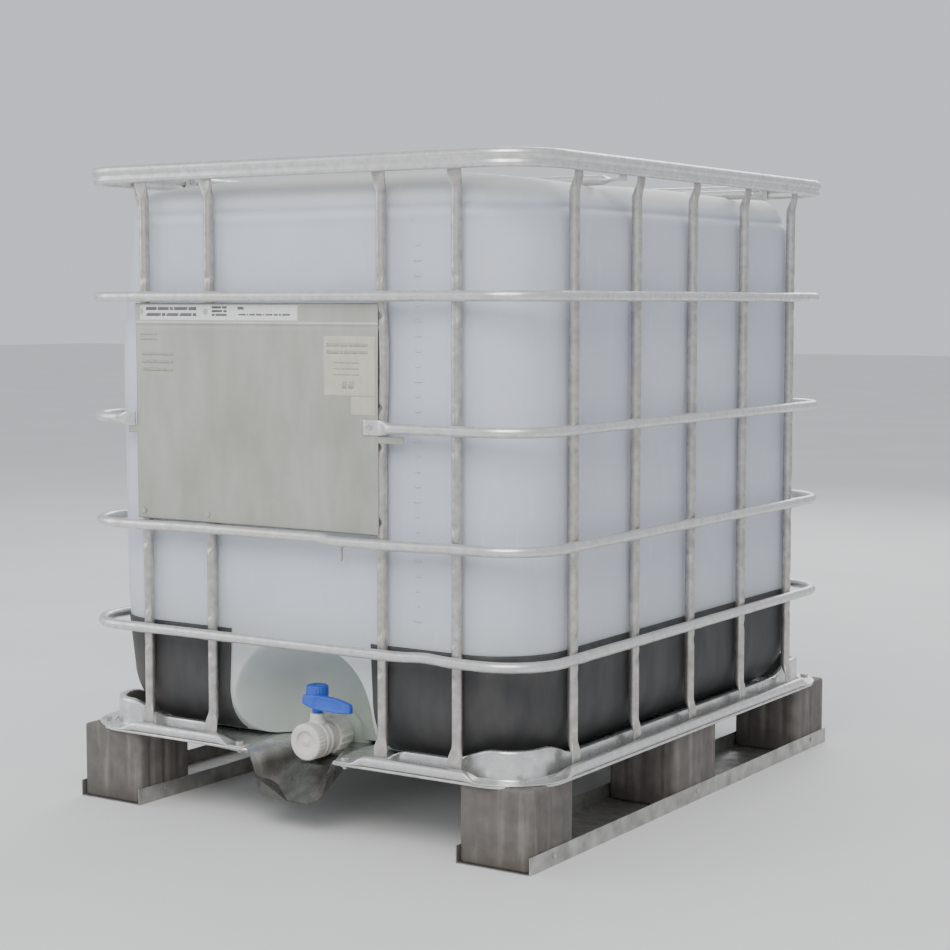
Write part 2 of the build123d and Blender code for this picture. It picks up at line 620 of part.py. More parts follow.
def build_bottom_ring():
    """Bottom tube on the pan's lip: four sides, strap corners, and an open front under the valve."""
    straight_x = RING_X - RING_CORNER
    straight_y = RING_Y - RING_CORNER
    level = BOTTOM_TUBE_LEVEL
    strap = Plane.XZ * Pos(RING_CORNER - STRAP_SHIFT, 0) * Rectangle(STRAP_WIDE, STRAP_THICK)
    corner = Pos(0, 0, LIP_TOP + STRAP_THICK / 2) * revolve(strap, Axis.Z, 90)
    left = strap_run(2 * straight_y, -STRAP_SHIFT)
    right = strap_run(2 * straight_y, STRAP_SHIFT)
    rear = strap_run(2 * straight_x, -STRAP_SHIFT)
    front = strap_run(straight_x - TUBE_END_X - STRAP_RUN, STRAP_SHIFT)
    to_right = ((0, 1, 0), (1, 0, 0))
    to_rear = ((-1, 0, 0), (0, 1, 0))
    ring = laid(-straight_x, RING_Y, level, *to_right) * rear
    ring += laid(-RING_X, -straight_y, level, *to_rear) * left
    ring += laid(RING_X, -straight_y, level, *to_rear) * right
    ring += laid(-straight_x, -RING_Y, level, *to_right) * front
    ring += laid(TUBE_END_X + STRAP_RUN, -RING_Y, level, *to_right) * front
    for spot in corner_spots(straight_x, straight_y):
        ring += spot * corner
    half = STRAP_WIDE / 2
    for x in (-TUBE_END_X - STRAP_RUN, TUBE_END_X):
        ring += block((x, x + STRAP_RUN), (STRAP_Y - half, STRAP_Y + half), (LIP_TOP, LIP_TOP + STRAP_THICK))
    for x, y in corner_bolt_places():
        ring -= upright_cylinder(x, y, PAN_BOLT_RADIUS + HOLE_FIT, LIP_TOP - 1, HEIGHT)
    for x in (-END_BOLT_X, END_BOLT_X):
        ring -= upright_cylinder(x, STRAP_Y, END_BOLT_RADIUS + HOLE_FIT, LIP_TOP - 1, HEIGHT)
    save("bottom_ring", [ring])


def hex_bolt(x, y, radius, head, low):
    """Hexagon bolt standing on the strap, its shank going down."""
    seat = LIP_TOP + STRAP_THICK
    bolt = upright_cylinder(x, y, radius, low, seat)
    return bolt + Pos(x, y, seat) * extrude(RegularPolygon(head, 6), BOLT_HEAD_HEIGHT)


def build_pan_bolts():
    """Four corner bolts, and the two bolts with nuts at the open ends of the bottom tube."""
    bolts = [hex_bolt(x, y, PAN_BOLT_RADIUS, BOLT_HEAD, CORNER_BOLT_LOW) for x, y in corner_bolt_places()]
    for x in (-END_BOLT_X, END_BOLT_X):
        bolts.append(hex_bolt(x, STRAP_Y, END_BOLT_RADIUS, BOLT_HEAD - 1, END_BOLT_LOW))
        nut_low = LIP_TOP - SHEET - BOLT_HEAD_HEIGHT
        nut = Pos(x, STRAP_Y, nut_low) * extrude(RegularPolygon(BOLT_HEAD - 1, 6), BOLT_HEAD_HEIGHT)
        bolts.append(nut - upright_cylinder(x, STRAP_Y, END_BOLT_RADIUS + HOLE_FIT, nut_low - 1, LIP_TOP))
    save("pan_bolts", bolts)


def build_guard():
    """Black band round the foot of the bottle, open at the valve recess."""
    band = rounded_form(-GUARD_GAP - GUARD_THICK) - rounded_form(-GUARD_GAP)
    band &= block((-WIDTH / 2, WIDTH / 2), (-DEPTH / 2, DEPTH / 2), (GUARD_BOTTOM, GUARD_TOP))
    gate = make_face(Polyline(
        (-GUARD_GATE_LOW, GUARD_BOTTOM - 1), (GUARD_GATE_LOW, GUARD_BOTTOM - 1),
        (GUARD_GATE_TOP, GUARD_TOP + 1), (-GUARD_GATE_TOP, GUARD_TOP + 1), close=True,
    ))
    save("foot_guard", [band - extrude(Plane.XZ * gate, DEPTH / 2)])


def build_label_plate():
    """Thin plate with an ear under each end of the second ring, its rivets and its screw."""
    faces = (PLATE_FRONT, PLATE_FRONT + PLATE_THICK)
    plate = block((PLATE_LEFT, PLATE_RIGHT), faces, (PLATE_BOTTOM, PLATE_TOP))
    ear_top = RING_LEVELS[1] - FLAT_WIDTH / 2 - 1
    ear_levels = (ear_top - EAR_HEIGHT, ear_top)
    plate += block((PLATE_LEFT - EAR_LEFT, PLATE_LEFT), faces, ear_levels)
    plate += block((PLATE_RIGHT, PLATE_RIGHT + EAR_RIGHT), faces, ear_levels)
    spots = [(x, PLATE_FRONT, level) for x in FRONT_UPRIGHTS if x < 0 for level in RIVET_LEVELS]
    spots.append((PLATE_SCREW_X, PLATE_FRONT - WELD_GAP / 5 - STRAP_THICK, RING_LEVELS[1]))
    rivets = []
    for x, face, level in spots:
        place = Pos(x, face, level) * Rot(-90, 0, 0)
        plate -= place * Cylinder(RIVET_RADIUS + HOLE_FIT, TUBE, align=LOW)
        rivet = Cylinder(RIVET_RADIUS, RIVET_REACH, align=LOW)
        rivet += Pos(0, 0, -RIVET_HEAD) * Cylinder(2 * RIVET_RADIUS, RIVET_HEAD, align=LOW)
        rivets.append(place * rivet)
    save("label_plate", [plate])
    save("plate_rivets", rivets)


def foot_places():
    """Name, middle and length of each foot; the front has none in the middle, where the chute is."""
    side_x = FOOT_OUTER - FOOT_WIDE / 2
    end_y = FOOT_END - FOOT_LONG / 2
    return [
        ("foot_front_left", -side_x, -end_y, FOOT_LONG),
        ("foot_front_right", side_x, -end_y, FOOT_LONG),
        ("foot_middle_left", -side_x, 0, FOOT_MIDDLE_LONG),
        ("foot_middle_right", side_x, 0, FOOT_MIDDLE_LONG),
        ("foot_centre", 0, 0, FOOT_MIDDLE_LONG),
        ("foot_rear_left", -side_x, end_y, FOOT_LONG),
        ("foot_rear_right", side_x, end_y, FOOT_LONG),
        ("foot_rear_centre", 0, end_y, FOOT_LONG),
    ]


def runner_screw(x, y, way, radius_extra):
    """Screw through a runner's side into a foot; way is 1 for the side of +X and -1 for -X."""
    face = x + way * (FOOT_WIDE / 2 + HOLE_FIT + RUNNER_SHEET)
    place = Pos(face, y, RUNNER_SCREW_LEVEL) * Rot(0, -90 * way, 0)
    return place * Cylinder(SCREW_RADIUS + radius_extra, 8 * SCREW_RADIUS, align=LOW)


def build_feet():
    """Blocks between pan and runners, hollow from below, and the screws through the runners' sides."""
    screws = []
    for name, x, y, long in foot_places():
        outline = RectangleRounded(FOOT_WIDE, long, FOOT_ROUND)
        foot = Pos(x, y, RUNNER_SHEET) * extrude(outline, LIP_TOP - SHEET - RUNNER_SHEET)
        hollow = Box(FOOT_WIDE - 2 * FOOT_WALL, long - 2 * FOOT_WALL, FOOT_HOLLOW_TOP, align=LOW)
        foot -= Pos(x, y, 0) * hollow
        for bolt_x, bolt_y in corner_bolt_places():
            foot -= upright_cylinder(bolt_x, bolt_y, PAN_BOLT_RADIUS + HOLE_FIT, CORNER_BOLT_LOW - 2, HEIGHT)
        for way in (-1, 1):
            foot -= runner_screw(x, y, way, HOLE_FIT)
            face = x + way * (FOOT_WIDE / 2 + HOLE_FIT + RUNNER_SHEET)
            head = extrude(RegularPolygon(2 * SCREW_RADIUS, 6), RUNNER_SCREW_HEAD)
            head = Pos(face, y, RUNNER_SCREW_LEVEL) * Rot(0, 90 * way, 0) * head
            screws.append(runner_screw(x, y, way, 0) + head)
        save(name, [foot])
    save("runner_screws", screws)


def runner(front, rear, screw_places):
    """Shallow channel of sheet that the feet stand in."""
    inner = FOOT_WIDE / 2 + HOLE_FIT
    outer = inner + RUNNER_SHEET
    channel = block((-outer, outer), (front, rear), (0, RUNNER_SIDE))
    channel -= block((-inner, inner), (front - 1, rear + 1), (RUNNER_SHEET, HEIGHT))
    for y in screw_places:
        for way in (-1, 1):
            channel -= runner_screw(0, y, way, HOLE_FIT)
    return channel


def build_runners():
    """Two long runners at the sides and a shorter one behind the chute."""
    end_y = FOOT_END - FOOT_LONG / 2
    side_x = FOOT_OUTER - FOOT_WIDE / 2
    long_runner = runner(-RUNNER_END, RUNNER_END, (-end_y, 0, end_y))
    save("runner_left", [Pos(-side_x, 0, 0) * long_runner])
    save("runner_right", [Pos(side_x, 0, 0) * long_runner])
    save("runner_centre", [runner(FOOT_END - RUNNER_END - FOOT_MIDDLE_LONG / 2, RUNNER_END, (0, end_y))])


def build_rings():
    """The four rings, counted from the top; the second is parted at the label plate."""
    for number, level in enumerate(RING_LEVELS, 1):
        save(f"cage_ring_{number}", [open_ring(level) if number == 2 else cage_ring(level)])


build_bottle()
build_lid()
build_valve_body()
build_union_nut()
build_stem()
build_handle()
build_outlet_cap()
build_guard()
build_pan()
build_bottom_ring()
build_pan_bolts()
build_rings()
build_top_rim()
build_uprights()
build_cross_bars()
build_label_plate()
build_feet()
build_runners()
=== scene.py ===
import math
import bpy
import numpy as np
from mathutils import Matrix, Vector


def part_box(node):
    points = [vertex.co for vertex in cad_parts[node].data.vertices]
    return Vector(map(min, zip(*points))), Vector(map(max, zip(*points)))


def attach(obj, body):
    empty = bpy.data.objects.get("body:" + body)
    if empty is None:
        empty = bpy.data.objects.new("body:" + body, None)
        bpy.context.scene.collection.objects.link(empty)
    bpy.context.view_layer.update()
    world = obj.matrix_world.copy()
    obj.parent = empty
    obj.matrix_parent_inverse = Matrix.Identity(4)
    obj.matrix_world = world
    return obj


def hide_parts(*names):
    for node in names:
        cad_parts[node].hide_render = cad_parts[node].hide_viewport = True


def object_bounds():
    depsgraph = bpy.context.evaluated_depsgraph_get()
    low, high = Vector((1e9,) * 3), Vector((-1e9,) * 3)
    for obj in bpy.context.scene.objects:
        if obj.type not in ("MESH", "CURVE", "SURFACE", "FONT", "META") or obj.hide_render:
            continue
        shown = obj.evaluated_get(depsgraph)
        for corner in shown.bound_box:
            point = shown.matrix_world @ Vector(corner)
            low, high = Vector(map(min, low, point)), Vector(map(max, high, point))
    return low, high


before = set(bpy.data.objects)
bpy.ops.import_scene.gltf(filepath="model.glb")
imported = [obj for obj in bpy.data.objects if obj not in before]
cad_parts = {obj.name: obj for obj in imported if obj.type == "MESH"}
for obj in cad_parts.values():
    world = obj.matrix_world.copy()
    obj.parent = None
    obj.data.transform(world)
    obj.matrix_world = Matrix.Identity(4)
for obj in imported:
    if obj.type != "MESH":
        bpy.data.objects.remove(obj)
cad_low, cad_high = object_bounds()

# --- Bottle -----------------------------------------------------------------------------------
# One blown bottle of natural polyethylene, milky and slightly blue. The parting mould leaves soft
# panels, a crease under the shoulder, a domed top with a channel for each bar, a well for the lid,
# and an arched recess in front with the outlet boss welded to its back wall.

MAIN_BODY = "container"
BOTTLE_HALF_X = 0.459
BOTTLE_HALF_Y = 0.559
BOTTLE_FLOOR = 0.140
FOOT_ROUND = 0.100
CORNER_MIDDLE = 0.105
CORNER_ENDS = 0.150
CREASE_LEVEL = 1.079
SHOULDER_LEVEL = 1.094
SIDE_SHOULDER = 1.040
CROWN_LEVEL = 1.143
CROWN_MIDDLE_X = 0.05
CROWN_FALL = 0.154
BAR_Y = 0.280
BAR_CHANNEL_LEVEL = 1.1165
WELL_RADIUS = 0.114
WELL_LEVEL = 1.106
NECK_OUTER = 0.0755
NECK_INNER = 0.070
NECK_TOP = 1.1478
RECESS_HALF = 0.153
RECESS_TOP = 0.328
RECESS_ROUND = 0.120
RECESS_DEPTH = 0.131
RECESS_RUN = 0.085
VALVE_LEVEL = 0.151


def smooth(value, low, high):
    """Zero below low, one above high, and 3t^2 - 2t^3 of the fraction t between them."""
    t = np.clip((value - low) / (high - low), 0.0, 1.0)
    return t * t * (3.0 - 2.0 * t)


def bell(value, middle, width):
    """Gaussian bump: exp(-((value - middle) / width)^2)."""
    return np.exp(-(((value - middle) / width) ** 2))


def closed(number, ends):
    """Faces of one grid of point numbers. Columns wrap unless it is a sheet, rows wrap in a ring, and
    caps close the first and last row with one face each."""
    columns = number.shape[1]
    if ends != "sheet":
        number = np.concatenate([number, number[:, :1]], axis=1)
    if ends == "ring":
        number = np.concatenate([number, number[:1]])
    quads = np.stack([number[:-1, :-1], number[:-1, 1:], number[1:, 1:], number[1:, :-1]], axis=-1)
    faces = quads.reshape(-1, 4).tolist()
    if ends == "caps":
        faces.append(number[0, :columns][::-1].tolist())
        faces.append(number[-1, :columns].tolist())
    return faces


def surface(name, body, grids, looks, wall=None):
    """One mesh from grids of points, each rows x columns x 3 with the kind of its ends."""
    points = []
    faces = []
    start = 0
    for grid, ends in grids:
        rows, columns = grid.shape[:2]
        faces.extend(closed(np.arange(rows * columns).reshape(rows, columns) + start, ends))
        points.append(grid.reshape(-1, 3))
        start += rows * columns
    mesh = bpy.data.meshes.new(name)
    mesh.from_pydata(np.concatenate(points).tolist(), [], faces)
    mesh.shade_smooth()
    mesh.materials.append(looks)
    piece = bpy.data.objects.new(name, mesh)
    bpy.context.scene.collection.objects.link(piece)
    if wall:
        sheet = piece.modifiers.new("wall", "SOLIDIFY")
        sheet.thickness = wall
        sheet.offset = -1.0
    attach(piece, body)
    return piece


def outline(front_x, side_y, back_x, corner_steps):
    """Columns round a rounded rectangle, counter-clockwise from the front's left end. Each has a place k
    between the corner centres, from -1 to 1 each way, and a unit normal n. The point is k times the
    centres' distance plus n times the corner radius."""
    quarter = np.linspace(0.0, math.pi / 2, corner_steps + 2)[1:-1]
    places = []
    normals = []
    for turn, along in enumerate((front_x, side_y, back_x, side_y)):
        angle = (turn - 1) * math.pi / 2
        normal = np.array([round(math.cos(angle)), round(math.sin(angle))], float)
        across = np.array([-normal[1], normal[0]])
        bend = angle + quarter
        places.append(normal + along[:, None] * across)
        places.append(np.repeat((normal + across)[None], corner_steps, axis=0))
        normals.append(np.repeat(normal[None], len(along), axis=0))
        normals.append(np.stack([np.cos(bend), np.sin(bend)], axis=1))
    return np.concatenate(places), np.concatenate(normals)


def ring_points(places, normals, half_x, half_y, corner, level):
    """Rows of a rounded rectangle: half sizes, corner radii and heights are arrays, one value a row."""
    half = np.stack([half_x, half_y], axis=1)[:, None, :] - corner[:, None, None]
    flat = places[None] * half + normals[None] * corner[:, None, None]
    rise = np.broadcast_to(level[:, None, None], flat.shape[:2] + (1,))
    return np.concatenate([flat, rise], axis=2)


def recess_depth(x, z):
    """Depth of the valve recess. The arch is a rounded box; inside it the depth rises with the distance d
    from its edge as depth * (1 - (1 - t)^2.2), so its sides are steep and its back is flat. Here t is
    1.07 u^2 / (u + 0.07) of u = d/run, which rounds the edge."""
    centre_z = RECESS_TOP - 0.3
    q_x = np.abs(x) - (RECESS_HALF - RECESS_ROUND) - 0.06 * np.clip(0.25 - z, 0.0, 0.12)
    q_z = (z - centre_z) - (0.3 - RECESS_ROUND)
    outside = np.hypot(np.maximum(q_x, 0.0), np.maximum(q_z, 0.0))
    distance = outside + np.minimum(np.maximum(q_x, q_z), 0.0) - RECESS_ROUND
    u = np.clip(-distance / RECESS_RUN, 0.0, 1.0)
    t = u ** 2 / (u + 0.07) * 1.07
    return RECESS_DEPTH * (1.0 - (1.0 - t) ** 2.2)


def bottle_section(level):
    """Corner radius against height: tight in the middle, easing open towards top and bottom."""
    opening = smooth(level, 0.80, 1.08) + 1.0 - smooth(level, 0.16, 0.42)
    return CORNER_MIDDLE + (CORNER_ENDS - CORNER_MIDDLE) * opening


def wall_relief(x, y, z):
    """Outward relief of the walls: soft panels between the tubes, low waves, and the crease."""
    across = np.where(np.abs(x) > BOTTLE_HALF_X - 0.02, y / 0.214, x / 0.150)
    inside = smooth(z, 0.30, 0.42) * (1.0 - smooth(z, 1.00, 1.07))
    panels = 0.0011 * np.cos(2 * math.pi * across) * inside
    waves = 0.0012 * np.sin(9.0 * z + 2.0 * across) * inside
    crease = -0.0042 * bell(z, CREASE_LEVEL, 0.0065) + 0.0016 * bell(z, CREASE_LEVEL - 0.017, 0.008)
    return panels + waves + crease


def bottle_grid():
    """The bottle's skin as one grid: rows run from the middle of the floor, up the wall, over the crown,
    down the well, up and over the neck, and round the hollow inside."""
    front = np.concatenate([
        np.linspace(-1.0, -0.57, 12), np.linspace(-0.56, 0.56, 181), np.linspace(0.57, 1.0, 12)
    ])
    half_side = np.concatenate([
        np.linspace(0.03, 0.45, 7), np.linspace(0.48, 0.72, 16), np.linspace(0.75, 1.0, 7)
    ])
    side = np.concatenate([-half_side[::-1], half_side])
    places, normals = outline(front, side, np.linspace(-1, 1, 38), 14)
    spread = np.array([0.02, 0.25, 0.5, 0.75, 0.92])
    swing = np.linspace(0.0, math.pi / 2, 40)
    low_wall = np.linspace(0.2425, 0.345, 44)
    high_wall = np.linspace(0.359, 1.048, 34)
    crease = np.linspace(1.051, SHOULDER_LEVEL, 18)
    lean = np.linspace(0.0, 1.0, 14)[1:]
    level = np.concatenate([
        np.full(len(spread), BOTTLE_FLOOR), BOTTLE_FLOOR + FOOT_ROUND * (1 - np.cos(swing)),
        low_wall, high_wall, crease, SHOULDER_LEVEL + 0.043 * np.sin(lean * math.pi / 2),
    ])
    inset = np.concatenate([
        np.full(len(spread), FOOT_ROUND), FOOT_ROUND * (1 - np.sin(swing)),
        np.zeros(len(low_wall) + len(high_wall) + len(crease)), 0.085 * (1 - np.cos(lean * math.pi / 2)),
    ])
    shrink = np.concatenate([spread, np.ones(len(level) - len(spread))])
    corner = np.maximum(bottle_section(level) - inset, 0.02)
    rounding = np.clip((level - SIDE_SHOULDER) / 0.0975, 0.0, 1.0)
    side_inset = np.maximum(inset, 0.09 * (1 - np.sqrt(1 - rounding ** 2)))
    half_x = (BOTTLE_HALF_X - side_inset) * shrink
    half_y = (BOTTLE_HALF_Y - inset) * shrink
    body = ring_points(places, normals, half_x, half_y, corner * shrink, level)
    relief = wall_relief(body[..., 0], body[..., 1], body[..., 2]) * (level > 0.243)[:, None]
    body[..., :2] += normals[None] * relief[..., None]

    rim = body[-1, :, :2]
    turn = np.arctan2(rim[:, 1], rim[:, 0])
    circle = np.stack([np.cos(turn), np.sin(turn)], axis=1)
    share = np.linspace(0.0, 1.0, 41)[1:]
    crown_flat = rim[None] * (1 - share)[:, None, None] + WELL_RADIUS * circle[None] * share[:, None, None]
    crown = np.concatenate([crown_flat, np.full(crown_flat.shape[:2] + (1,), CROWN_LEVEL)], axis=2)
    skin = np.concatenate([body, crown])
    x, y, z = skin[..., 0], skin[..., 1], skin[..., 2]
    dome = CROWN_LEVEL - CROWN_FALL * (x - CROWN_MIDDLE_X) ** 2 + 0.0015 * np.sin(11 * y + 4 * x)
    over = smooth(z, SHOULDER_LEVEL, 1.135)
    z = z * (1 - over) + np.minimum(z, dome) * over
    channel = 1.0 - smooth(np.abs(np.abs(y) - BAR_Y), 0.013, 0.042)
    over_bar = smooth(z, 1.085, 1.112)
    z = z - np.maximum(z - BAR_CHANNEL_LEVEL, 0.0) * channel * over_bar
    radius = np.hypot(x, y)
    z = z - 0.004 * bell(radius, WELL_RADIUS, 0.012) * over
    skin[..., 2] = z
    deep = -BOTTLE_HALF_Y + recess_depth(x, z)
    in_front = (y < -0.3) & (z < 0.36)
    soft = 0.5 * (y + deep + np.sqrt((y - deep) ** 2 + 0.004 ** 2)) - 0.002
    skin[..., 1] = np.where(in_front, np.maximum(soft, y), y)

    radii = np.array([
        0.111, 0.1095, 0.107, 0.102, 0.092, 0.083, 0.0785, 0.0762, NECK_OUTER, NECK_OUTER, NECK_OUTER,
        NECK_OUTER + 0.0012, NECK_OUTER + 0.0012, NECK_OUTER, NECK_OUTER, NECK_OUTER - 0.001,
        NECK_INNER + 0.001, NECK_INNER, NECK_INNER, 0.074, 0.090,
    ])
    levels = np.array([
        1.134, 1.122, 1.112, 1.1075, WELL_LEVEL, WELL_LEVEL, 1.1068, 1.109, 1.113, 1.118, 1.125,
        1.127, 1.130, 1.132, 1.1465, NECK_TOP, NECK_TOP, 1.1465, 1.103, 1.0985, 1.095,
    ])
    well_level = np.broadcast_to(levels[:, None, None], (len(radii), len(circle), 1))
    well = np.concatenate([circle[None] * radii[:, None, None], well_level], axis=2)
    hollow_level = np.array([1.092, 1.082, 1.05, 0.70, 0.42, 0.36, 0.350, 0.350])
    hollow_inset = np.array([0.10, 0.04, 0.016, 0.014, 0.014, 0.03, 0.07, 0.07])
    hollow_share = np.array([1, 1, 1, 1, 1, 1, 1, 0.05])
    hollow = ring_points(
        places, normals,
        (BOTTLE_HALF_X - hollow_inset) * hollow_share, (BOTTLE_HALF_Y - hollow_inset) * hollow_share,
        np.maximum(bottle_section(hollow_level) - hollow_inset, 0.03) * hollow_share, hollow_level,
    )
    return np.concatenate([skin, well, hollow])


def turned(profile, steps, centre, axis, ribs=0, rib_height=0.0, ribbed=None):
    """Turned shape: each pair of radius and place along the axis is a circle, upwards or towards the front.
    Ribbed rows grow by rib_height * max(0, cos(ribs * angle))^0.5."""
    radii, places = np.transpose(profile)
    angle = np.linspace(0.0, 2 * math.pi, steps, endpoint=False)
    share = np.zeros(len(radii)) if ribbed is None else np.asarray(ribbed, float)
    wave = np.sqrt(np.maximum(np.cos(ribs * angle), 0.0))
    radii = radii[:, None] + rib_height * share[:, None] * wave
    along = np.broadcast_to(places[:, None], (len(radii), steps))
    if axis == "z":
        parts = [radii * np.cos(angle), radii * np.sin(angle), along]
    else:
        parts = [-radii * np.sin(angle), along, radii * np.cos(angle)]
    return np.stack(parts, axis=-1) + np.asarray(centre)


def material(name, rough, metal=0.0, bump=0.0, bump_scale=200.0, **sockets):
    """Material with a Principled shader, and a fine bump where asked. Returns the material, its node tree,
    its shader and its texture coordinates."""
    looks = bpy.data.materials.new(name)
    looks.use_nodes = True
    tree = looks.node_tree
    shader = tree.nodes["Principled BSDF"]
    shader.inputs["Metallic"].default_value = metal
    shader.inputs["Roughness"].default_value = rough
    for socket, value in sockets.items():
        shader.inputs[socket.replace("_", " ")].default_value = value
    place = tree.nodes.new("ShaderNodeTexCoord")
    if bump:
        grain = noise(tree, place, bump_scale, 3.0)
        lift = tree.nodes.new("ShaderNodeBump")
        lift.inputs["Strength"].default_value = bump
        lift.inputs["Distance"].default_value = 0.001
        tree.links.new(grain, lift.inputs["Height"])
        tree.links.new(lift.outputs["Normal"], shader.inputs["Normal"])
    return looks, tree, shader, place


def noise(tree, place, scale, detail, stretch=(1.0, 1.0, 1.0)):
    """Noise on object coordinates, its pattern squeezed by a stretch, as an output from 0 to 1."""
    mapping = tree.nodes.new("ShaderNodeMapping")
    mapping.inputs["Scale"].default_value = stretch
    grain = tree.nodes.new("ShaderNodeTexNoise")
    grain.inputs["Scale"].default_value = scale
    grain.inputs["Detail"].default_value = detail
    tree.links.new(place.outputs["Object"], mapping.inputs["Vector"])
    tree.links.new(mapping.outputs["Vector"], grain.inputs["Vector"])
    return grain.outputs["Fac"]


def ramp(tree, factor, stops):
    """Colour output of a ramp fed by a factor; stops are pairs of place and colour."""
    node = tree.nodes.new("ShaderNodeValToRGB")
    while len(node.color_ramp.elements) < len(stops):
        node.color_ramp.elements.new(0.5)
    for element, (place, colour) in zip(node.color_ramp.elements, stops):
        element.position = place
        element.color = colour + (1.0,)
    tree.links.new(factor, node.inputs["Fac"])
    return node.outputs["Color"]


def mix(tree, factor, first, second, way="MIX"):
    """Colour mix of two outputs by a factor output or a number."""
    node = tree.nodes.new("ShaderNodeMix")
    node.data_type = "RGBA"
    node.blend_type = way
    if isinstance(factor, float):
        node.inputs["Factor"].default_value = factor
    else:
        tree.links.new(factor, node.inputs["Factor"])
    tree.links.new(first, node.inputs["A"])
    tree.links.new(second, node.inputs["B"])
    return node.outputs["Result"]


def tinted(tree, tone, factor, stops):
    """Multiplies a tone by the colours of a ramp."""
    return mix(tree, 1.0, tone, ramp(tree, factor, stops), "MULTIPLY")


def height(tree, place, axis="Z"):
    """One coordinate of the object, as an output."""
    split = tree.nodes.new("ShaderNodeSeparateXYZ")
    tree.links.new(place.outputs["Object"], split.inputs["Vector"])
    return split.outputs[axis]


def span(tree, value, low, high):
    """Maps a value from low..high to 0..1, held at both ends."""
    node = tree.nodes.new("ShaderNodeMapRange")
    node.inputs["From Min"].default_value = low
    node.inputs["From Max"].default_value = high
    tree.links.new(value, node.inputs["Value"])
    return node.outputs["Result"]


def milky_polyethylene():
    """Natural polyethylene: milky, faintly blue, with a fine satin skin. Painted shade of the valve recess
    makes it greener, darker and mottled below 0.40 m; a painted shadow lies in the crease and a painted
    highlight on the shoulder above it.
    """
    looks, tree, shader, place = material(
        "milky_polyethylene", 0.43, bump=0.10, bump_scale=420.0,
        Subsurface_Weight=0.25, Subsurface_Scale=0.012, IOR=1.45,
    )
    shader.inputs["Subsurface Radius"].default_value = (1.0, 1.1, 1.3)
    cloud = noise(tree, place, 3.2, 4.0)
    body = ramp(tree, cloud, [(0.35, (0.535, 0.575, 0.645)), (0.65, (0.600, 0.640, 0.705))])
    # Painted shade of the valve recess: a greener, darker mottle, blended in below 0.40 m.
    recess_shade_mottle = noise(tree, place, 7.0, 6.0, (1.0, 1.0, 0.6))
    low = ramp(tree, recess_shade_mottle, [
        (0.30, (0.50, 0.56, 0.53)), (0.52, (0.55, 0.595, 0.555)), (0.72, (0.47, 0.54, 0.45)),
    ])
    rise = span(tree, height(tree, place), 0.22, 0.40)
    tone = mix(tree, rise, low, body)
    tone = tinted(tree, tone, span(tree, height(tree, place), 1.085, 1.125), [
        (0.0, (1, 1, 1)), (1.0, (0.90, 0.85, 0.73)),
    ])
    # Painted shadow in the crease and a painted highlight on the shoulder just above it.
    tone = tinted(tree, tone, span(tree, height(tree, place), 1.07, 1.11), [
        (0.0, (1, 1, 1)), (0.20, (0.90, 0.90, 0.90)), (0.38, (1.14, 1.14, 1.12)),
        (0.62, (1.10, 1.10, 1.06)), (0.9, (1, 1, 1)),
    ])
    scuff = noise(tree, place, 60.0, 6.0, (1.0, 1.0, 0.25))
    tone = tinted(tree, tone, scuff, [(0.62, (1, 1, 1)), (0.80, (1.10, 1.10, 1.08))])
    tree.links.new(tone, shader.inputs["Base Color"])
    return looks


def pillow(centre, half, power, rows, steps):
    """Closed rounded block: each direction of a ball scaled by half, with its sines and cosines raised
    to the power."""
    tilt = np.linspace(-math.pi / 2 + 0.12, math.pi / 2 - 0.12, rows)[:, None]
    turn = np.linspace(0.0, 2 * math.pi, steps, endpoint=False)[None]

    def curved(value):
        """Sign of the value times its size to the power."""
        return np.sign(value) * np.abs(value) ** power

    parts = [
        curved(np.cos(tilt)) * curved(np.cos(turn)) * half[0],
        curved(np.cos(tilt)) * curved(np.sin(turn)) * half[1],
        curved(np.sin(tilt)) * np.ones_like(turn) * half[2],
    ]
    return np.stack(parts, axis=-1) + np.asarray(centre)


bottle_looks = milky_polyethylene()
boss_profile = [
    (0.060, -0.4255), (0.045, -0.4285), (0.034, -0.4320), (0.0285, -0.4380), (0.027, -0.4440),
    (0.027, -0.4670), (0.0265, -0.4678), (0.0215, -0.4678), (0.021, -0.4670), (0.021, -0.4275),
]
boss = turned(boss_profile, 48, (0.0, 0.0, VALVE_LEVEL), "y")
bottle = surface("bottle_skin", MAIN_BODY, [(bottle_grid(), "caps"), (boss, "caps")], bottle_looks)
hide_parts("bottle")

# Raised volume marks on the front wall, moulded with the bottle, and one round mould mark.
MARK_X = 0.250
mark_levels = np.arange(0.39, 1.03, 0.025)
marks = []
for number, level in enumerate(mark_levels):
    face = -BOTTLE_HALF_Y - float(wall_relief(np.array(MARK_X), np.array(-BOTTLE_HALF_Y), np.array(level)))
    half = 0.010 if number % 4 == 0 else 0.0055 + 0.0015 * math.sin(5.0 * number)
    marks.append((pillow((MARK_X, face, level), (half, 0.0016, 0.0022), 0.7, 7, 14), "caps"))
marks.append((pillow((0.240, -BOTTLE_HALF_Y, 1.060), (0.006, 0.0016, 0.006), 0.9, 9, 16), "caps"))
volume_marks = surface("bottle_marks", MAIN_BODY, marks, bottle_looks)

# --- Foot guard -------------------------------------------------------------------------------
# A matt black plastic sheet wrapped round the foot of the bottle and tucked behind the uprights. It
# follows the bottle's rounding, stops short of the valve recess, and is dusty from the ground.

GUARD_LOW = 0.151
GUARD_HIGH = 0.342
GUARD_GATE = (0.153, 0.162)
GUARD_WALL = 0.002
GUARD_GAP = 0.0008


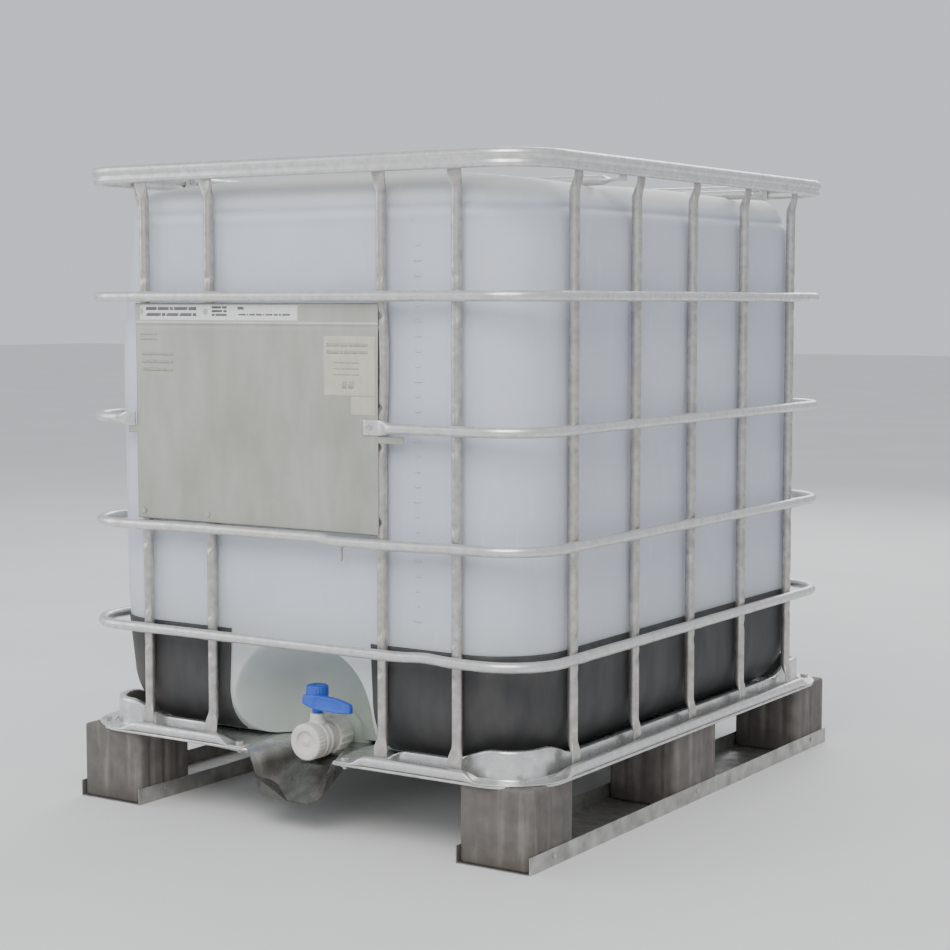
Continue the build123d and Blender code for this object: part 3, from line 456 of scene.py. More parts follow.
def guard_grid():
    """Band just outside the bottle. A row's half size is the bottle's less its foot rounding
    r - sqrt(r^2 - (r - h)^2), and the front columns stop at the gate on both sides."""
    places, normals = outline(np.array([1.0]), np.linspace(-1, 1, 60), np.linspace(-1, 1, 50), 18)
    level = np.linspace(GUARD_LOW, GUARD_HIGH, 34)
    rise = np.minimum(level - BOTTLE_FLOOR, FOOT_ROUND)
    inset = FOOT_ROUND - np.sqrt(FOOT_ROUND ** 2 - (FOOT_ROUND - rise) ** 2)
    corner = np.maximum(bottle_section(level) - inset, 0.02)
    out = GUARD_GAP + GUARD_WALL
    band = ring_points(
        places, normals, BOTTLE_HALF_X - inset + out, BOTTLE_HALF_Y - inset + out, corner + out, level
    )
    gate = GUARD_GATE[0] + (GUARD_GATE[1] - GUARD_GATE[0]) * (GUARD_HIGH - level) / (GUARD_HIGH - GUARD_LOW)
    start = band[:, 0, 0]
    across = gate[:, None] + (start - gate)[:, None] * np.linspace(0.0, 1.0, 60)[None, :-1]
    face = np.broadcast_to(band[:, 0, 1][:, None], across.shape)
    right = np.stack([across, face, np.broadcast_to(level[:, None], across.shape)], axis=-1)
    left = right[:, ::-1] * np.array([-1.0, 1.0, 1.0])
    band = np.concatenate([right, band, left], axis=1)
    ripple = 0.0006 * np.sin(23 * (band[..., 0] + band[..., 1])) * smooth(band[..., 2], 0.24, 0.34)
    away = band[..., :2] / np.linalg.norm(band[..., :2], axis=-1, keepdims=True)
    band[..., :2] += away * ripple[..., None]
    return band


def dusty_black_sheet():
    """Matt black polypropylene with grey dust and brown dirt in patches."""
    looks, tree, shader, place = material("dusty_black_sheet", 0.62, bump=0.25, bump_scale=520.0)
    dust = noise(tree, place, 26.0, 7.0, (1.0, 1.0, 0.35))
    base = ramp(tree, dust, [(0.34, (0.034, 0.034, 0.035)), (0.76, (0.062, 0.061, 0.060))])
    dirt = noise(tree, place, 3.1, 3.0, (1.0, 1.0, 1.6))
    spread = ramp(tree, dirt, [(0.60, (0, 0, 0)), (0.78, (0.55, 0.55, 0.55))])
    mud = ramp(tree, dust, [(0.3, (0.070, 0.056, 0.042)), (0.7, (0.115, 0.092, 0.070))])
    tree.links.new(mix(tree, spread, base, mud),
                   shader.inputs["Base Color"])
    return looks


guard = surface("guard_sheet", MAIN_BODY, [(guard_grid(), "sheet")], dusty_black_sheet(), wall=GUARD_WALL)
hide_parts("foot_guard")

# --- Cage -------------------------------------------------------------------------------------
# Round galvanised tubes of 18 mm, resistance-welded at every crossing. Each crossing is pressed flat
# and has two dimples in the upright. The uprights' ends are crushed into wide flats under the rim and
# on the pan, and the second ring is open in front, where the label plate hangs.

TUBE = 0.018
RING_HALF_X = 0.491
RING_HALF_Y = 0.591
RING_CORNER = 0.101
RING_LEVELS = (0.9306, 0.712, 0.5195, 0.3315)
UPRIGHT_PLANE_X = 0.4725
UPRIGHT_PLANE_Y = 0.5725
FRONT_UPRIGHTS = (-0.3367, -0.1863, 0.1863, 0.3367)
REAR_UPRIGHTS = (-0.3367, -0.168, 0.0, 0.168, 0.3367)
SIDE_UPRIGHTS = (-0.428, -0.214, 0.0, 0.214, 0.428)
UPRIGHT_LOW = 0.1412
UPRIGHT_HIGH = 1.1515
FLAT_WIDE = 0.026
FLAT_THICK = 0.0024
FLAT_OUT = 0.0078
DIMPLE_AWAY = 0.033
DIMPLE_DEEP = 0.0042
BOTTOM_RING_LEVEL = 0.147
STRAP_LEVEL = 0.1395
TAB_FROM = 0.100
TAB_TO = 0.132
CRUSH_RUN = 0.032
RIM_LEVEL = 1.1495


def oval(width, tall, power, shift_side, shift_up, steps):
    """Closed sections, one row for each width: |side/(width/2)|^p + |up/(tall/2)|^p = 1, then shifted."""
    turn = np.linspace(0.0, -2 * math.pi, steps, endpoint=False)[None]
    exponent = 2.0 / power[:, None]
    side = np.sign(np.cos(turn)) * np.abs(np.cos(turn)) ** exponent * width[:, None] / 2
    up = np.sign(np.sin(turn)) * np.abs(np.sin(turn)) ** exponent * tall[:, None] / 2
    return side + shift_side[:, None], up + shift_up[:, None]


def carried(path, up, side_offset, up_offset, ring):
    """Sections carried along a path: point = path + side offset * side + up offset * lift, where
    side = tangent x up and lift = side x tangent. The tangent is the difference of the neighbours."""
    if ring:
        tangent = np.roll(path, -1, axis=0) - np.roll(path, 1, axis=0)
    else:
        tangent = np.gradient(path, axis=0)
    tangent /= np.linalg.norm(tangent, axis=1, keepdims=True)
    side = np.cross(tangent, up)
    side /= np.linalg.norm(side, axis=1, keepdims=True)
    lift = np.cross(side, tangent)
    return path[:, None] + side_offset[..., None] * side[:, None] + up_offset[..., None] * lift[:, None]


def cage_path(level):
    """Centre line of a ring, counter-clockwise from the front's left end, with a point each 6 mm."""
    places, normals = outline(np.linspace(-1, 1, 131), np.linspace(-1, 1, 165), np.linspace(-1, 1, 131), 24)
    one = np.ones(1)
    return ring_points(
        places, normals, RING_HALF_X * one, RING_HALF_Y * one, RING_CORNER * one, level * one
    )[0]


def near_crossings(path):
    """Nearness to an upright: 1 at a crossing, falling as exp(-(distance/8mm)^2)."""
    x, y = path[:, 0], path[:, 1]
    near = np.zeros(len(path))
    for spot in FRONT_UPRIGHTS:
        near += bell(x, spot, 0.008) * (y < -0.58)
    for spot in REAR_UPRIGHTS:
        near += bell(x, spot, 0.008) * (y > 0.58)
    for spot in SIDE_UPRIGHTS:
        near += bell(y, spot, 0.008) * (np.abs(x) > 0.48)
    return near


def ring_section(path, flat):
    """Round tube, pressed on its inner face by 1.6 mm at each crossing, and crushed to a flat where
    flat is 1: 3 mm thick, 26 mm tall, its plane 6 mm in."""
    near = near_crossings(path) * (1 - flat)
    width = TUBE - 0.0016 * near - (TUBE - 0.003) * flat
    tall = TUBE + 0.0008 * near + (FLAT_WIDE - TUBE) * flat
    return oval(width, tall, 2.0 + 4.0 * flat, 0.0008 * near - 0.006 * flat, np.zeros(len(path)), 20)


def galvanised(name, dark, bright, rough, scale, stretch=(1.0, 1.0, 1.0), warm=(0.50, 0.44, 0.36)):
    """Zinc skin: two layers of mottled spangle, fine dull specks, and faint brown stains."""
    looks, tree, shader, place = material(name, rough, metal=0.86, bump=0.10, bump_scale=scale * 9)
    spangle = tree.nodes.new("ShaderNodeTexVoronoi")
    spangle.inputs["Scale"].default_value = scale * 2.2
    tree.links.new(place.outputs["Object"], spangle.inputs["Vector"])
    cloud = noise(tree, place, scale, 8.0, stretch)
    base = ramp(tree, cloud, [(0.30, dark), (0.70, bright)])
    tone = tinted(tree, base, spangle.outputs["Color"], [(0.0, (0.86, 0.87, 0.88)), (1.0, (1.0, 1.0, 1.0))])
    stain = noise(tree, place, 7.0, 9.0)
    spread = ramp(tree, stain, [(0.60, (0, 0, 0)), (0.82, (0.6, 0.6, 0.6))])
    brown = ramp(tree, cloud, [(0.2, warm), (0.8, tuple(1.2 * value for value in warm))])
    tone = mix(tree, spread, tone, brown)
    tree.links.new(tone, shader.inputs["Base Color"])
    dull = ramp(tree, cloud, [(0.25, (rough + 0.14,) * 3), (0.75, (rough - 0.08,) * 3)])
    tree.links.new(dull, shader.inputs["Roughness"])
    return looks


tube_looks = galvanised(
    "galvanised_tube", (0.66, 0.65, 0.63), (0.80, 0.79, 0.77), 0.34, 60.0, warm=(0.62, 0.57, 0.50)
)
# Uprights: a darker, browner copy of the tube finish, as painted shade and a painted brown reflection.
shaded_upright_looks = galvanised(
    "shaded_galvanised_tube", (0.44, 0.42, 0.39), (0.64, 0.62, 0.58), 0.36, 60.0, warm=(0.38, 0.32, 0.26)
)


def cage_ring(number, level):
    """One ring; the second is open in front, with both of its ends crushed flat."""
    path = cage_path(level)
    x, y = path[:, 0], path[:, 1]
    front = y < -0.55
    flat = np.zeros(len(path))
    ring = True
    if number == 2:
        ring = False
        keep = ~(front & (x > -0.3535) & (x < 0.156))
        first = int(np.argmax(front & (x >= 0.156)))
        path = np.roll(path, -first, axis=0)[np.roll(keep, -first)]
        x, y = path[:, 0], path[:, 1]
        front = y < -0.55
        right_end = (x > 0) * (1 - smooth(x, 0.188, 0.220))
        left_end = (x < 0) * smooth(x, -0.3855, -0.362)
        flat = front * np.maximum(right_end, left_end)
    if number == 3:
        path[:, 2] += front * (0.0015 - 0.004 * smooth(x, 0.070, 0.095)) * smooth(-np.abs(x), -0.36, -0.22)
    if number == 4:
        path[:, 2] += front * 0.0030 * bell(x, 0.285, 0.035)
    side, up = ring_section(path, flat)
    tube = carried(path, np.array([0.0, 0.0, 1.0]), side, up, ring)
    piece = surface(f"ring_{number}_tube", MAIN_BODY, [(tube, "ring" if ring else "caps")], tube_looks)
    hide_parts(f"cage_ring_{number}")


for number, level in enumerate(RING_LEVELS, start=1):
    cage_ring(number, level)


def upright(node, place, out, bend):
    """One upright: round between its crushed ends, with a dimple above and below each ring, a flat at
    each crossing, and a slight bend."""
    level = np.linspace(UPRIGHT_LOW, UPRIGHT_HIGH, 330)
    crushed = np.maximum(smooth(level, 1.099, 1.130), 1 - smooth(level, 0.164, 0.192))
    near = sum(bell(level, ring, 0.008) for ring in RING_LEVELS)
    flare = bell(level, 1.127, 0.012) + bell(level, 0.172, 0.012)
    wide = TUBE + (FLAT_WIDE - TUBE) * crushed + 0.0016 * flare + 0.0008 * near
    thick = TUBE + (FLAT_THICK - TUBE) * crushed - 0.0016 * near
    side, up = oval(
        wide, thick, 2.0 + 3.0 * crushed, np.zeros(len(level)), FLAT_OUT * crushed - 0.0008 * near, 24
    )
    spots = [ring + away for ring in RING_LEVELS for away in (-DIMPLE_AWAY, DIMPLE_AWAY)]
    dents = sum(bell(level, spot, 0.0065) for spot in spots)
    pressed = DIMPLE_DEEP * dents[:, None] * bell(side, 0.0, 0.0050) * (up > 0)
    flat_groove = 0.0008 * crushed[:, None] * bell(side, 0.0, 0.004) * (up > FLAT_OUT)
    across = np.array([-out[1], out[0], 0.0])
    sway = bend * np.sin(math.pi * np.clip((level - 0.715) / 0.215, 0, 1))
    base = np.array([place[0], place[1], 0.0])
    path = base + level[:, None] * np.array([0.0, 0.0, 1.0]) + sway[:, None] * across
    tube = carried(path, np.array([out[0], out[1], 0.0]), side, up - pressed - flat_groove, False)
    piece = surface(node + "_tube", MAIN_BODY, [(tube, "caps")], shaded_upright_looks)
    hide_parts(node)


for number, x in enumerate(FRONT_UPRIGHTS, start=1):
    upright(f"upright_front_{number}", (x, -UPRIGHT_PLANE_Y), (0.0, -1.0), 0.005 if number == 3 else 0.0)
for number, x in enumerate(REAR_UPRIGHTS, start=1):
    upright(f"upright_rear_{number}", (x, UPRIGHT_PLANE_Y), (0.0, 1.0), 0.0)
for number, y in enumerate(SIDE_UPRIGHTS, start=1):
    upright(f"upright_left_{number}", (-UPRIGHT_PLANE_X, y), (-1.0, 0.0), 0.0)
    upright(f"upright_right_{number}", (UPRIGHT_PLANE_X, y), (1.0, 0.0), 0.0)


def bottom_ring():
    """Lowest tube, crushed to a strap at its corners and at its two front ends, where it is bolted."""
    path = cage_path(BOTTOM_RING_LEVEL)
    x, y = path[:, 0], path[:, 1]
    keep = ~((y < -0.55) & (np.abs(x) < TAB_FROM))
    first = int(np.argmax((y < -0.55) & (x >= TAB_FROM)))
    path = np.roll(path, -first, axis=0)[np.roll(keep, -first)]
    path[0, 0], path[-1, 0] = TAB_FROM, -TAB_FROM
    x, y = path[:, 0], path[:, 1]
    turn_x, turn_y = RING_HALF_X - RING_CORNER, RING_HALF_Y - RING_CORNER
    before = np.maximum(turn_x - np.abs(x), 0.0) + np.maximum(turn_y - np.abs(y), 0.0)
    corner = 1 - smooth(before, 0.0, CRUSH_RUN)
    tab = (y < -0.55) * (1 - smooth(np.abs(x), TAB_TO, TAB_TO + CRUSH_RUN))
    flat = np.maximum(corner, tab)
    path[:, 2] += (STRAP_LEVEL - BOTTOM_RING_LEVEL) * flat
    width = TUBE + (0.028 - TUBE) * flat
    tall = TUBE + (0.003 - TUBE) * flat
    side, up = oval(width, tall, 2.0 + 3.0 * flat, -0.005 * flat, np.zeros(len(path)), 24)
    tube = carried(path, np.array([0.0, 0.0, 1.0]), side, up, False)
    piece = surface("bottom_ring_tube", MAIN_BODY, [(tube, "caps")], tube_looks)
    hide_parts("bottom_ring")


bottom_ring()


def top_rim():
    """Rim of two lobes, one above the other: half width = the larger of two circles and the web, and it
    is drawn on lines spread evenly in angle."""
    path = cage_path(RIM_LEVEL)
    turn = np.linspace(0.0, math.pi, 21)
    up = 0.0155 * np.cos(turn)
    upper = np.sqrt(np.maximum(0.009 ** 2 - (up - 0.0065) ** 2, 0.0))
    lower = np.sqrt(np.maximum(0.0065 ** 2 - (up + 0.009) ** 2, 0.0))
    half = np.maximum(np.maximum(upper, lower), 0.0040 * np.sin(turn))
    side = np.concatenate([half[1:-1], [0.0], -half[1:-1][::-1], [0.0]])
    rise = np.concatenate([up[1:-1], [up[-1]], up[1:-1][::-1], [up[0]]])
    count = len(path)
    section = carried(
        path, np.array([0.0, 0.0, 1.0]), np.tile(side, (count, 1)), np.tile(rise, (count, 1)), True
    )
    piece = surface("rim_tube", MAIN_BODY, [(section, "ring")], tube_looks)
    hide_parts("top_rim")


top_rim()

# --- Cross bars -------------------------------------------------------------------------------
# Two tubes across the top, in the bottle's channels, with flattened ends bolted to the rim. They and
# their bolts keep their modelled shape.


def dress(node, looks):
    """Gives a modelled piece its finish in every one of its slots."""
    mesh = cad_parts[node].data
    mesh.materials.clear()
    mesh.materials.append(looks)


bolt_looks = galvanised("zinc_bolts", (0.42, 0.42, 0.40), (0.66, 0.65, 0.60), 0.34, 150.0)
for node in ("cross_bar_front", "cross_bar_rear"):
    dress(node, tube_looks)
for node in ("cross_bar_bolts", "pan_bolts", "plate_rivets", "runner_screws", "handle_screw"):
    dress(node, bolt_looks)

# --- Pan --------------------------------------------------------------------------------------
# One pressing of bright galvanised sheet. A flat lip carries the bottom tube, a folded ridge inside it
# holds the bottle and rises at the corners, and a chute drains the valve recess to the front.

PAN_HALF_X = 0.497
PAN_HALF_Y = 0.597
PAN_CORNER = 0.102
LIP_LEVEL = 0.138
RIDGE_LOW = 0.165
RIDGE_HIGH = 0.188
CHUTE_FRONT = 0.593
CHUTE_BACK = 0.505
CHUTE_LOW = 0.055
TROUGH_HALF = 0.074
TROUGH_FLOOR = 0.1015
TROUGH_END = -0.150


def crest_level(x, y):
    """Crest of the ridge: low along the sides, high at the corners, and no ridge at the front gate."""
    ramp_x = smooth(np.abs(x), 0.310, 0.400)
    ramp_y = smooth(np.abs(y), 0.400, 0.490)
    crest = RIDGE_LOW + (RIDGE_HIGH - RIDGE_LOW) * np.where(np.abs(y) > 0.54, ramp_x, ramp_y)
    gate = np.where(y < -0.50, smooth(np.abs(x), 0.155, 0.225), 1.0)
    return LIP_LEVEL + (crest - LIP_LEVEL) * gate


def trough_level(x, y):
    """Floor of the chute and the trough: it falls to the front, and its walls open out there."""
    run = np.clip((y + CHUTE_FRONT) / (CHUTE_FRONT - CHUTE_BACK), 0.0, 1.0)
    floor = CHUTE_LOW + (TROUGH_FLOOR - CHUTE_LOW) * run
    low_half = 0.050 + (TROUGH_HALF - 0.004 - 0.050) * run
    top_half = 0.098 + (TROUGH_HALF + 0.002 - 0.098) * run
    share = np.clip((np.abs(x) - 0.6 * low_half) / (top_half - 0.6 * low_half), 0.0, 1.0)
    bent = share ** (2.0 - 0.4 * run)
    wall = bent - 0.8 * np.sin(2 * math.pi * bent) / (2 * math.pi)
    end = smooth(y, TROUGH_END - 0.012, TROUGH_END)
    return floor + (LIP_LEVEL - floor) * np.maximum(wall, end)


def pan_grid():
    """The sheet as a grid: rows go from the hem under the lip inwards, over the ridge, to the middle."""
    inset = np.concatenate([
        [0.0, 0.0, 0.0006, 0.002], np.linspace(0.004, 0.032, 13),
        [0.0335, 0.0343, 0.0345, 0.0352, 0.037, 0.0395, 0.0415],
        [0.0435, 0.046, 0.0478, 0.0485, 0.0487, 0.0495],
        np.linspace(0.053, 0.20, 40), np.linspace(0.21, 0.44, 22), [0.445, 0.448, 0.460, 0.485],
    ])
    crest_share = np.interp(
        inset,
        [0.0, 0.0335, 0.0343, 0.0345, 0.0352, 0.037, 0.0415, 0.046, 0.0478, 0.0485, 0.0487, 0.0495, 1.0],
        [0.0, 0.0, 0.08, 0.86, 0.95, 1.0, 1.0, 1.0, 0.95, 0.86, 0.08, 0.0, 0.0],
    )
    hem = np.interp(inset, [0.0, 0.0006, 0.002], [-0.0022, -0.0006, 0.0])
    hem[0] = -0.0045
    front = np.concatenate([
        np.linspace(-1.0, -0.62, 12), np.linspace(-0.60, -0.30, 26), np.linspace(-0.29, 0.29, 91),
        np.linspace(0.30, 0.60, 26), np.linspace(0.62, 1.0, 12),
    ])
    places, normals = outline(front, np.linspace(-1, 1, 64), np.linspace(-1, 1, 54), 14)
    sheet = ring_points(
        places, normals, PAN_HALF_X - inset, PAN_HALF_Y - inset, np.maximum(PAN_CORNER - inset, 0.004),
        np.full(len(inset), LIP_LEVEL),
    )
    x, y = sheet[..., 0], sheet[..., 1]
    level = LIP_LEVEL + hem[:, None] + (crest_level(x, y) - LIP_LEVEL) * crest_share[:, None]
    level = level + 0.0004 * np.sin(31 * x) * np.sin(27 * y) * (inset > 0.05)[:, None]
    in_chute = (y < TROUGH_END) & (np.abs(x) < 0.099)
    sheet[..., 2] = np.where(in_chute, np.minimum(level, trough_level(x, y)), level)
    squeezed = -CHUTE_FRONT + (y + PAN_HALF_Y) * 0.8
    sheet[..., 1] = np.where(in_chute, np.maximum(y, squeezed), y)
    return sheet


pan_looks = galvanised(
    "bright_galvanised_sheet", (0.60, 0.60, 0.59), (0.82, 0.82, 0.80), 0.25, 34.0, warm=(0.48, 0.41, 0.32)
)


def shade_below_height(looks, low, high, dark):
    """Multiplies a finish by a dark tint below a height, as painted shade, broken up by upright streaks."""
    tree = looks.node_tree
    shader = tree.nodes["Principled BSDF"]
    clean = shader.inputs["Base Color"].links[0].from_socket
    place = tree.nodes["Texture Coordinate"]
    runs = noise(tree, place, 48.0, 6.0, (1.0, 1.0, 0.15))
    shade_tone = ramp(tree, runs, [(0.35, dark), (0.70, tuple(2.2 * value for value in dark))])
    tint = mix(tree, span(tree, height(tree, place), low, high), shade_tone, clean)
    both = mix(tree, 0.85, clean, tint)
    tree.links.new(both, shader.inputs["Base Color"])


# Painted shade in the chute, the trough and under the lip's hem, everything below 0.137 m.
shade_below_height(pan_looks, 0.110, 0.1368, (0.10, 0.095, 0.085))
pan = surface("pan_sheet", MAIN_BODY, [(pan_grid()[::-1], "caps")], pan_looks)
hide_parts("pan")

# --- Label plate ------------------------------------------------------------------------------
# A thin galvanised sheet riveted to the two left uprights and screwed to the open ring's right end. It
# is slightly wavy, with a pressed crease near its top, hemmed edges, an ear at each side, two paper
# labels, and a small loose tab under the third ring. The print is generic.

PLATE_X = (-0.351, 0.186)
PLATE_Z = (0.531, 0.919)
PLATE_FACE = -0.5834
CREASE_Z = 0.885
EAR_Z = (0.686, 0.698)
EAR_LEFT = -0.3718
EAR_RIGHT = 0.2378


def plate_face(x, z):
    """Front face of the plate: shallow waves, the crease as a step with a bright edge, and hems."""
    wave = 0.00045 * np.sin(15 * x + 3 * z) + 0.00035 * np.sin(21 * z + 6 * x)
    crease = -0.0004 * bell(z, CREASE_Z, 0.0022) + 0.0006 * bell(z, CREASE_Z - 0.006, 0.003)
    return PLATE_FACE + 0.0009 + wave + crease


def flat_grid(x_range, z_range, columns, rows, lift):
    """Rectangle on the plate, lifted off its face, with its border turned back by 0.3 mm."""
    x, z = np.meshgrid(np.linspace(*x_range, columns), np.linspace(*z_range, rows))
    edge_x = np.minimum(x - x_range[0], x_range[1] - x)
    edge_z = np.minimum(z - z_range[0], z_range[1] - z)
    turned_back = 0.0003 * np.exp(-np.minimum(edge_x, edge_z) / 0.0012)
    return np.stack([x, plate_face(x, z) - lift + turned_back, z], axis=-1)


def weathered_plate():
    """Dull zinc plate, grey-green and blotched, with runs of dirt, brighter rubbed patches and brown
    specks, and a painted highlight on the crease with a painted shadow just under it.
    """
    looks, tree, shader, place = material(
        "weathered_zinc_plate", 0.46, metal=0.55, bump=0.10, bump_scale=300.0
    )
    blotch = noise(tree, place, 9.0, 12.0, (1.0, 1.0, 0.7))
    base = ramp(tree, blotch, [
        (0.25, (0.375, 0.375, 0.325)), (0.50, (0.435, 0.440, 0.390)), (0.78, (0.50, 0.505, 0.480)),
    ])
    runs = noise(tree, place, 36.0, 8.0, (1.0, 1.0, 0.30))
    tone = tinted(tree, base, runs, [(0.34, (0.92, 0.92, 0.90)), (0.68, (1.03, 1.03, 1.03))])
    speck = noise(tree, place, 240.0, 5.0)
    tone = tinted(tree, tone, speck, [(0.66, (1, 1, 1)), (0.80, (0.70, 0.66, 0.58))])
    # Painted highlight along the crease, with a painted shadow just under it.
    tone = tinted(tree, tone, span(tree, height(tree, place), 0.880, 0.890), [
        (0.0, (1, 1, 1)), (0.25, (0.82, 0.82, 0.80)), (0.42, (1.5, 1.5, 1.5)),
        (0.62, (1.4, 1.4, 1.4)), (0.8, (1, 1, 1)),
    ])
    tree.links.new(tone, shader.inputs["Base Color"])
    return looks


def aged_paper(name, light, dark):
    """Paper label: soft blotches, and finer fibres over them."""
    looks, tree, shader, place = material(name, 0.55, bump=0.06, bump_scale=700.0)
    age = noise(tree, place, 22.0, 9.0)
    sheet = ramp(tree, age, [(0.32, dark), (0.68, light)])
    fibre = noise(tree, place, 260.0, 4.0, (1.0, 1.0, 0.3))
    grain = ramp(tree, fibre, [(0.3, (0.93, 0.93, 0.92)), (0.7, (1.04, 1.04, 1.04))])
    tree.links.new(mix(tree, 1.0, sheet, grain, "MULTIPLY"),
                   shader.inputs["Base Color"])
    return looks


def print_bars(x_range, levels, tall, words, seed):
    """Rows of generic bars: each row is cut into words of uneven length with gaps of 2 mm between."""
    grids = []
    for row, level in enumerate(levels):
        parts = 1.0 + 0.6 * np.sin(seed + 2.3 * np.arange(words) + 1.7 * row)
        shares = np.concatenate([[0.0], np.cumsum(parts) / parts.sum()])
        stops = x_range[0] + (x_range[1] - x_range[0]) * shares
        for low, high in zip(stops[:-1], stops[1:]):
            grids.append((flat_grid((low, high - 0.002), (level, level + tall), 8, 3, 0.0007), "sheet"))
    return grids


plate_looks = weathered_plate()
plate = surface("plate_sheet", MAIN_BODY, [
    (flat_grid(PLATE_X, PLATE_Z, 220, 170, 0.0), "sheet"),
    (flat_grid((EAR_LEFT, PLATE_X[0] + 0.002), EAR_Z, 16, 12, 0.0), "sheet"),
    (flat_grid((PLATE_X[1] - 0.002, EAR_RIGHT), EAR_Z, 30, 12, 0.0), "sheet"),
], plate_looks, wall=0.0008)
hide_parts("label_plate")

white_paper = aged_paper("white_label_paper", (0.80, 0.80, 0.79), (0.70, 0.70, 0.69))
beige_paper = aged_paper("beige_label_paper", (0.56, 0.54, 0.44), (0.47, 0.46, 0.38))
dark_ink = aged_paper("dark_label_ink", (0.16, 0.16, 0.17), (0.10, 0.10, 0.11))
faded_ink = aged_paper("faded_label_ink", (0.40, 0.39, 0.33), (0.34, 0.33, 0.28))
labels = [
    surface("label_white", MAIN_BODY, [
        (flat_grid((-0.340, 0.018), (0.8885, 0.9165), 120, 16, 0.0004), "sheet")
    ], white_paper, wall=0.0002),
    surface("label_beige", MAIN_BODY, [
        (flat_grid((0.073, 0.180), (0.763, 0.864), 40, 40, 0.0004), "sheet"),
        (flat_grid((0.130, 0.180), (0.731, 0.7635), 20, 14, 0.0003), "sheet"),
    ], beige_paper, wall=0.0002),
    surface(
        "label_print", MAIN_BODY,
        print_bars((-0.325, -0.205), (0.9065, 0.8960), 0.0055, 5, 0.4)
        + print_bars((-0.172, -0.136), (0.9095, 0.9030, 0.8965), 0.0040, 2, 1.1)
        + print_bars((-0.114, -0.098), (0.9075,), 0.0050, 1, 0.0)
        + print_bars((-0.112, 0.004), (0.8975,), 0.0030, 9, 2.0),
        dark_ink, wall=0.0001,
    ),
    surface(
        "label_faded_print", MAIN_BODY,
        print_bars((0.080, 0.168), (0.846, 0.834), 0.0060, 4, 0.9)
        + print_bars((0.094, 0.150), (0.818, 0.808, 0.798), 0.0025, 3, 1.6)
        + print_bars((0.112, 0.140), (0.776,), 0.0120, 2, 0.2)
        + print_bars((-0.340, -0.298), (0.862, 0.853), 0.0030, 3, 0.7)
        + print_bars((-0.336, -0.262), (0.826, 0.812, 0.798), 0.0050, 4, 1.9),
        faded_ink, wall=0.0001,
    ),
]

# A small clip pinched on the third ring, dark in the uprights' finish of painted shade.
clip = surface("ring_clip", MAIN_BODY, [
    (pillow((0.114, -0.5905, 0.4975), (0.0022, 0.0030, 0.0130), 0.6, 11, 16), "caps"),
    (pillow((0.114, -0.5905, 0.5085), (0.0035, 0.0042, 0.0028), 0.7, 9, 16), "caps"),
], shaded_upright_looks)

# --- Valve ------------------------------------------------------------------------------------
# Moulded cream butterfly valve. A ribbed nut clamps it to the bottle's boss; its outlet is closed by a
# fluted dust cap with a dished face. A blue lever with a long sleeve turns the stem.

CREAM = (0.72, 0.70, 0.64)
OUTLET_Y = -0.536
COLLAR_Y = (-0.525, -0.502)
FLANGE_Y = (-0.477, -0.471)
CAP_Y = (-0.548, -0.5254)
CAP_SEAT_Y = -0.5385
STEM_Y = -0.511
VALVE_BORE = 0.021


def moulded_plastic(name, colour, dirt_colour, rough, dirt_from, fine):
    """Moulded plastic: clouded colour, fine grain, and dirt that gathers in patches."""
    looks, tree, shader, place = material(name, rough, bump=0.12, bump_scale=fine, Coat_Weight=0.08)
    cloud = noise(tree, place, 30.0, 8.0)
    clean = ramp(tree, cloud, [(0.3, tuple(0.88 * value for value in colour)), (0.7, colour)])
    patch = noise(tree, place, 14.0, 10.0, (1.0, 1.0, 0.5))
    spread = ramp(tree, patch, [(dirt_from, (0, 0, 0)), (dirt_from + 0.22, (0.8, 0.8, 0.8))])
    soil = ramp(tree, cloud, [(0.3, dirt_colour), (0.7, tuple(1.3 * v for v in dirt_colour))])
    tree.links.new(mix(tree, spread, clean, soil),
                   shader.inputs["Base Color"])
    dull = ramp(tree, patch, [(0.3, (rough - 0.06,) * 3), (0.7, (rough + 0.16,) * 3)])
    tree.links.new(dull, shader.inputs["Roughness"])
    return looks


cream_looks = moulded_plastic("cream_valve_plastic", CREAM, (0.36, 0.33, 0.26), 0.40, 0.56, 380.0)
axis_point = (0.0, 0.0, VALVE_LEVEL)
cap_profile = [
    (0.0300, CAP_SEAT_Y), (0.0300, -0.5300), (0.0302, -0.5262), (0.0310, CAP_Y[1]), (0.0318, CAP_Y[1]),
    (0.0322, -0.5262), (0.0322, -0.5300), (0.0322, -0.5340), (0.0322, -0.5380), (0.0322, -0.5420),
    (0.0321, -0.5445), (0.0316, -0.5465), (0.0306, -0.5477), (0.0290, CAP_Y[0]), (0.0240, CAP_Y[0]),
    (0.0205, CAP_Y[0]), (0.0196, -0.5474), (0.0190, -0.5460), (0.0186, -0.5432), (0.0178, -0.5422),
    (0.0120, -0.5420), (0.0072, -0.5420), (0.0066, -0.5424), (0.0064, -0.5446), (0.0058, -0.5452),
    (0.0004, -0.5453),
]
cap_ribbed = [5 < row < 12 for row in range(len(cap_profile))]
cap_grid = turned(cap_profile, 240, axis_point, "y", 30, 0.0008, cap_ribbed)
cap = surface("cap_shell", "outlet_cap", [(cap_grid, "caps")], cream_looks)
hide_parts("outlet_cap")


def threaded(low, high, radius, turns, deep):
    """Rows of a coarse rounded thread: radius - deep/2 + deep/2 * cos(2 pi turns t), t from low to high."""
    share = np.linspace(0.0, 1.0, 8 * turns + 1)
    rows = radius - deep / 2 + deep / 2 * np.cos(2 * math.pi * turns * share)
    return list(zip(rows, low + (high - low) * share))


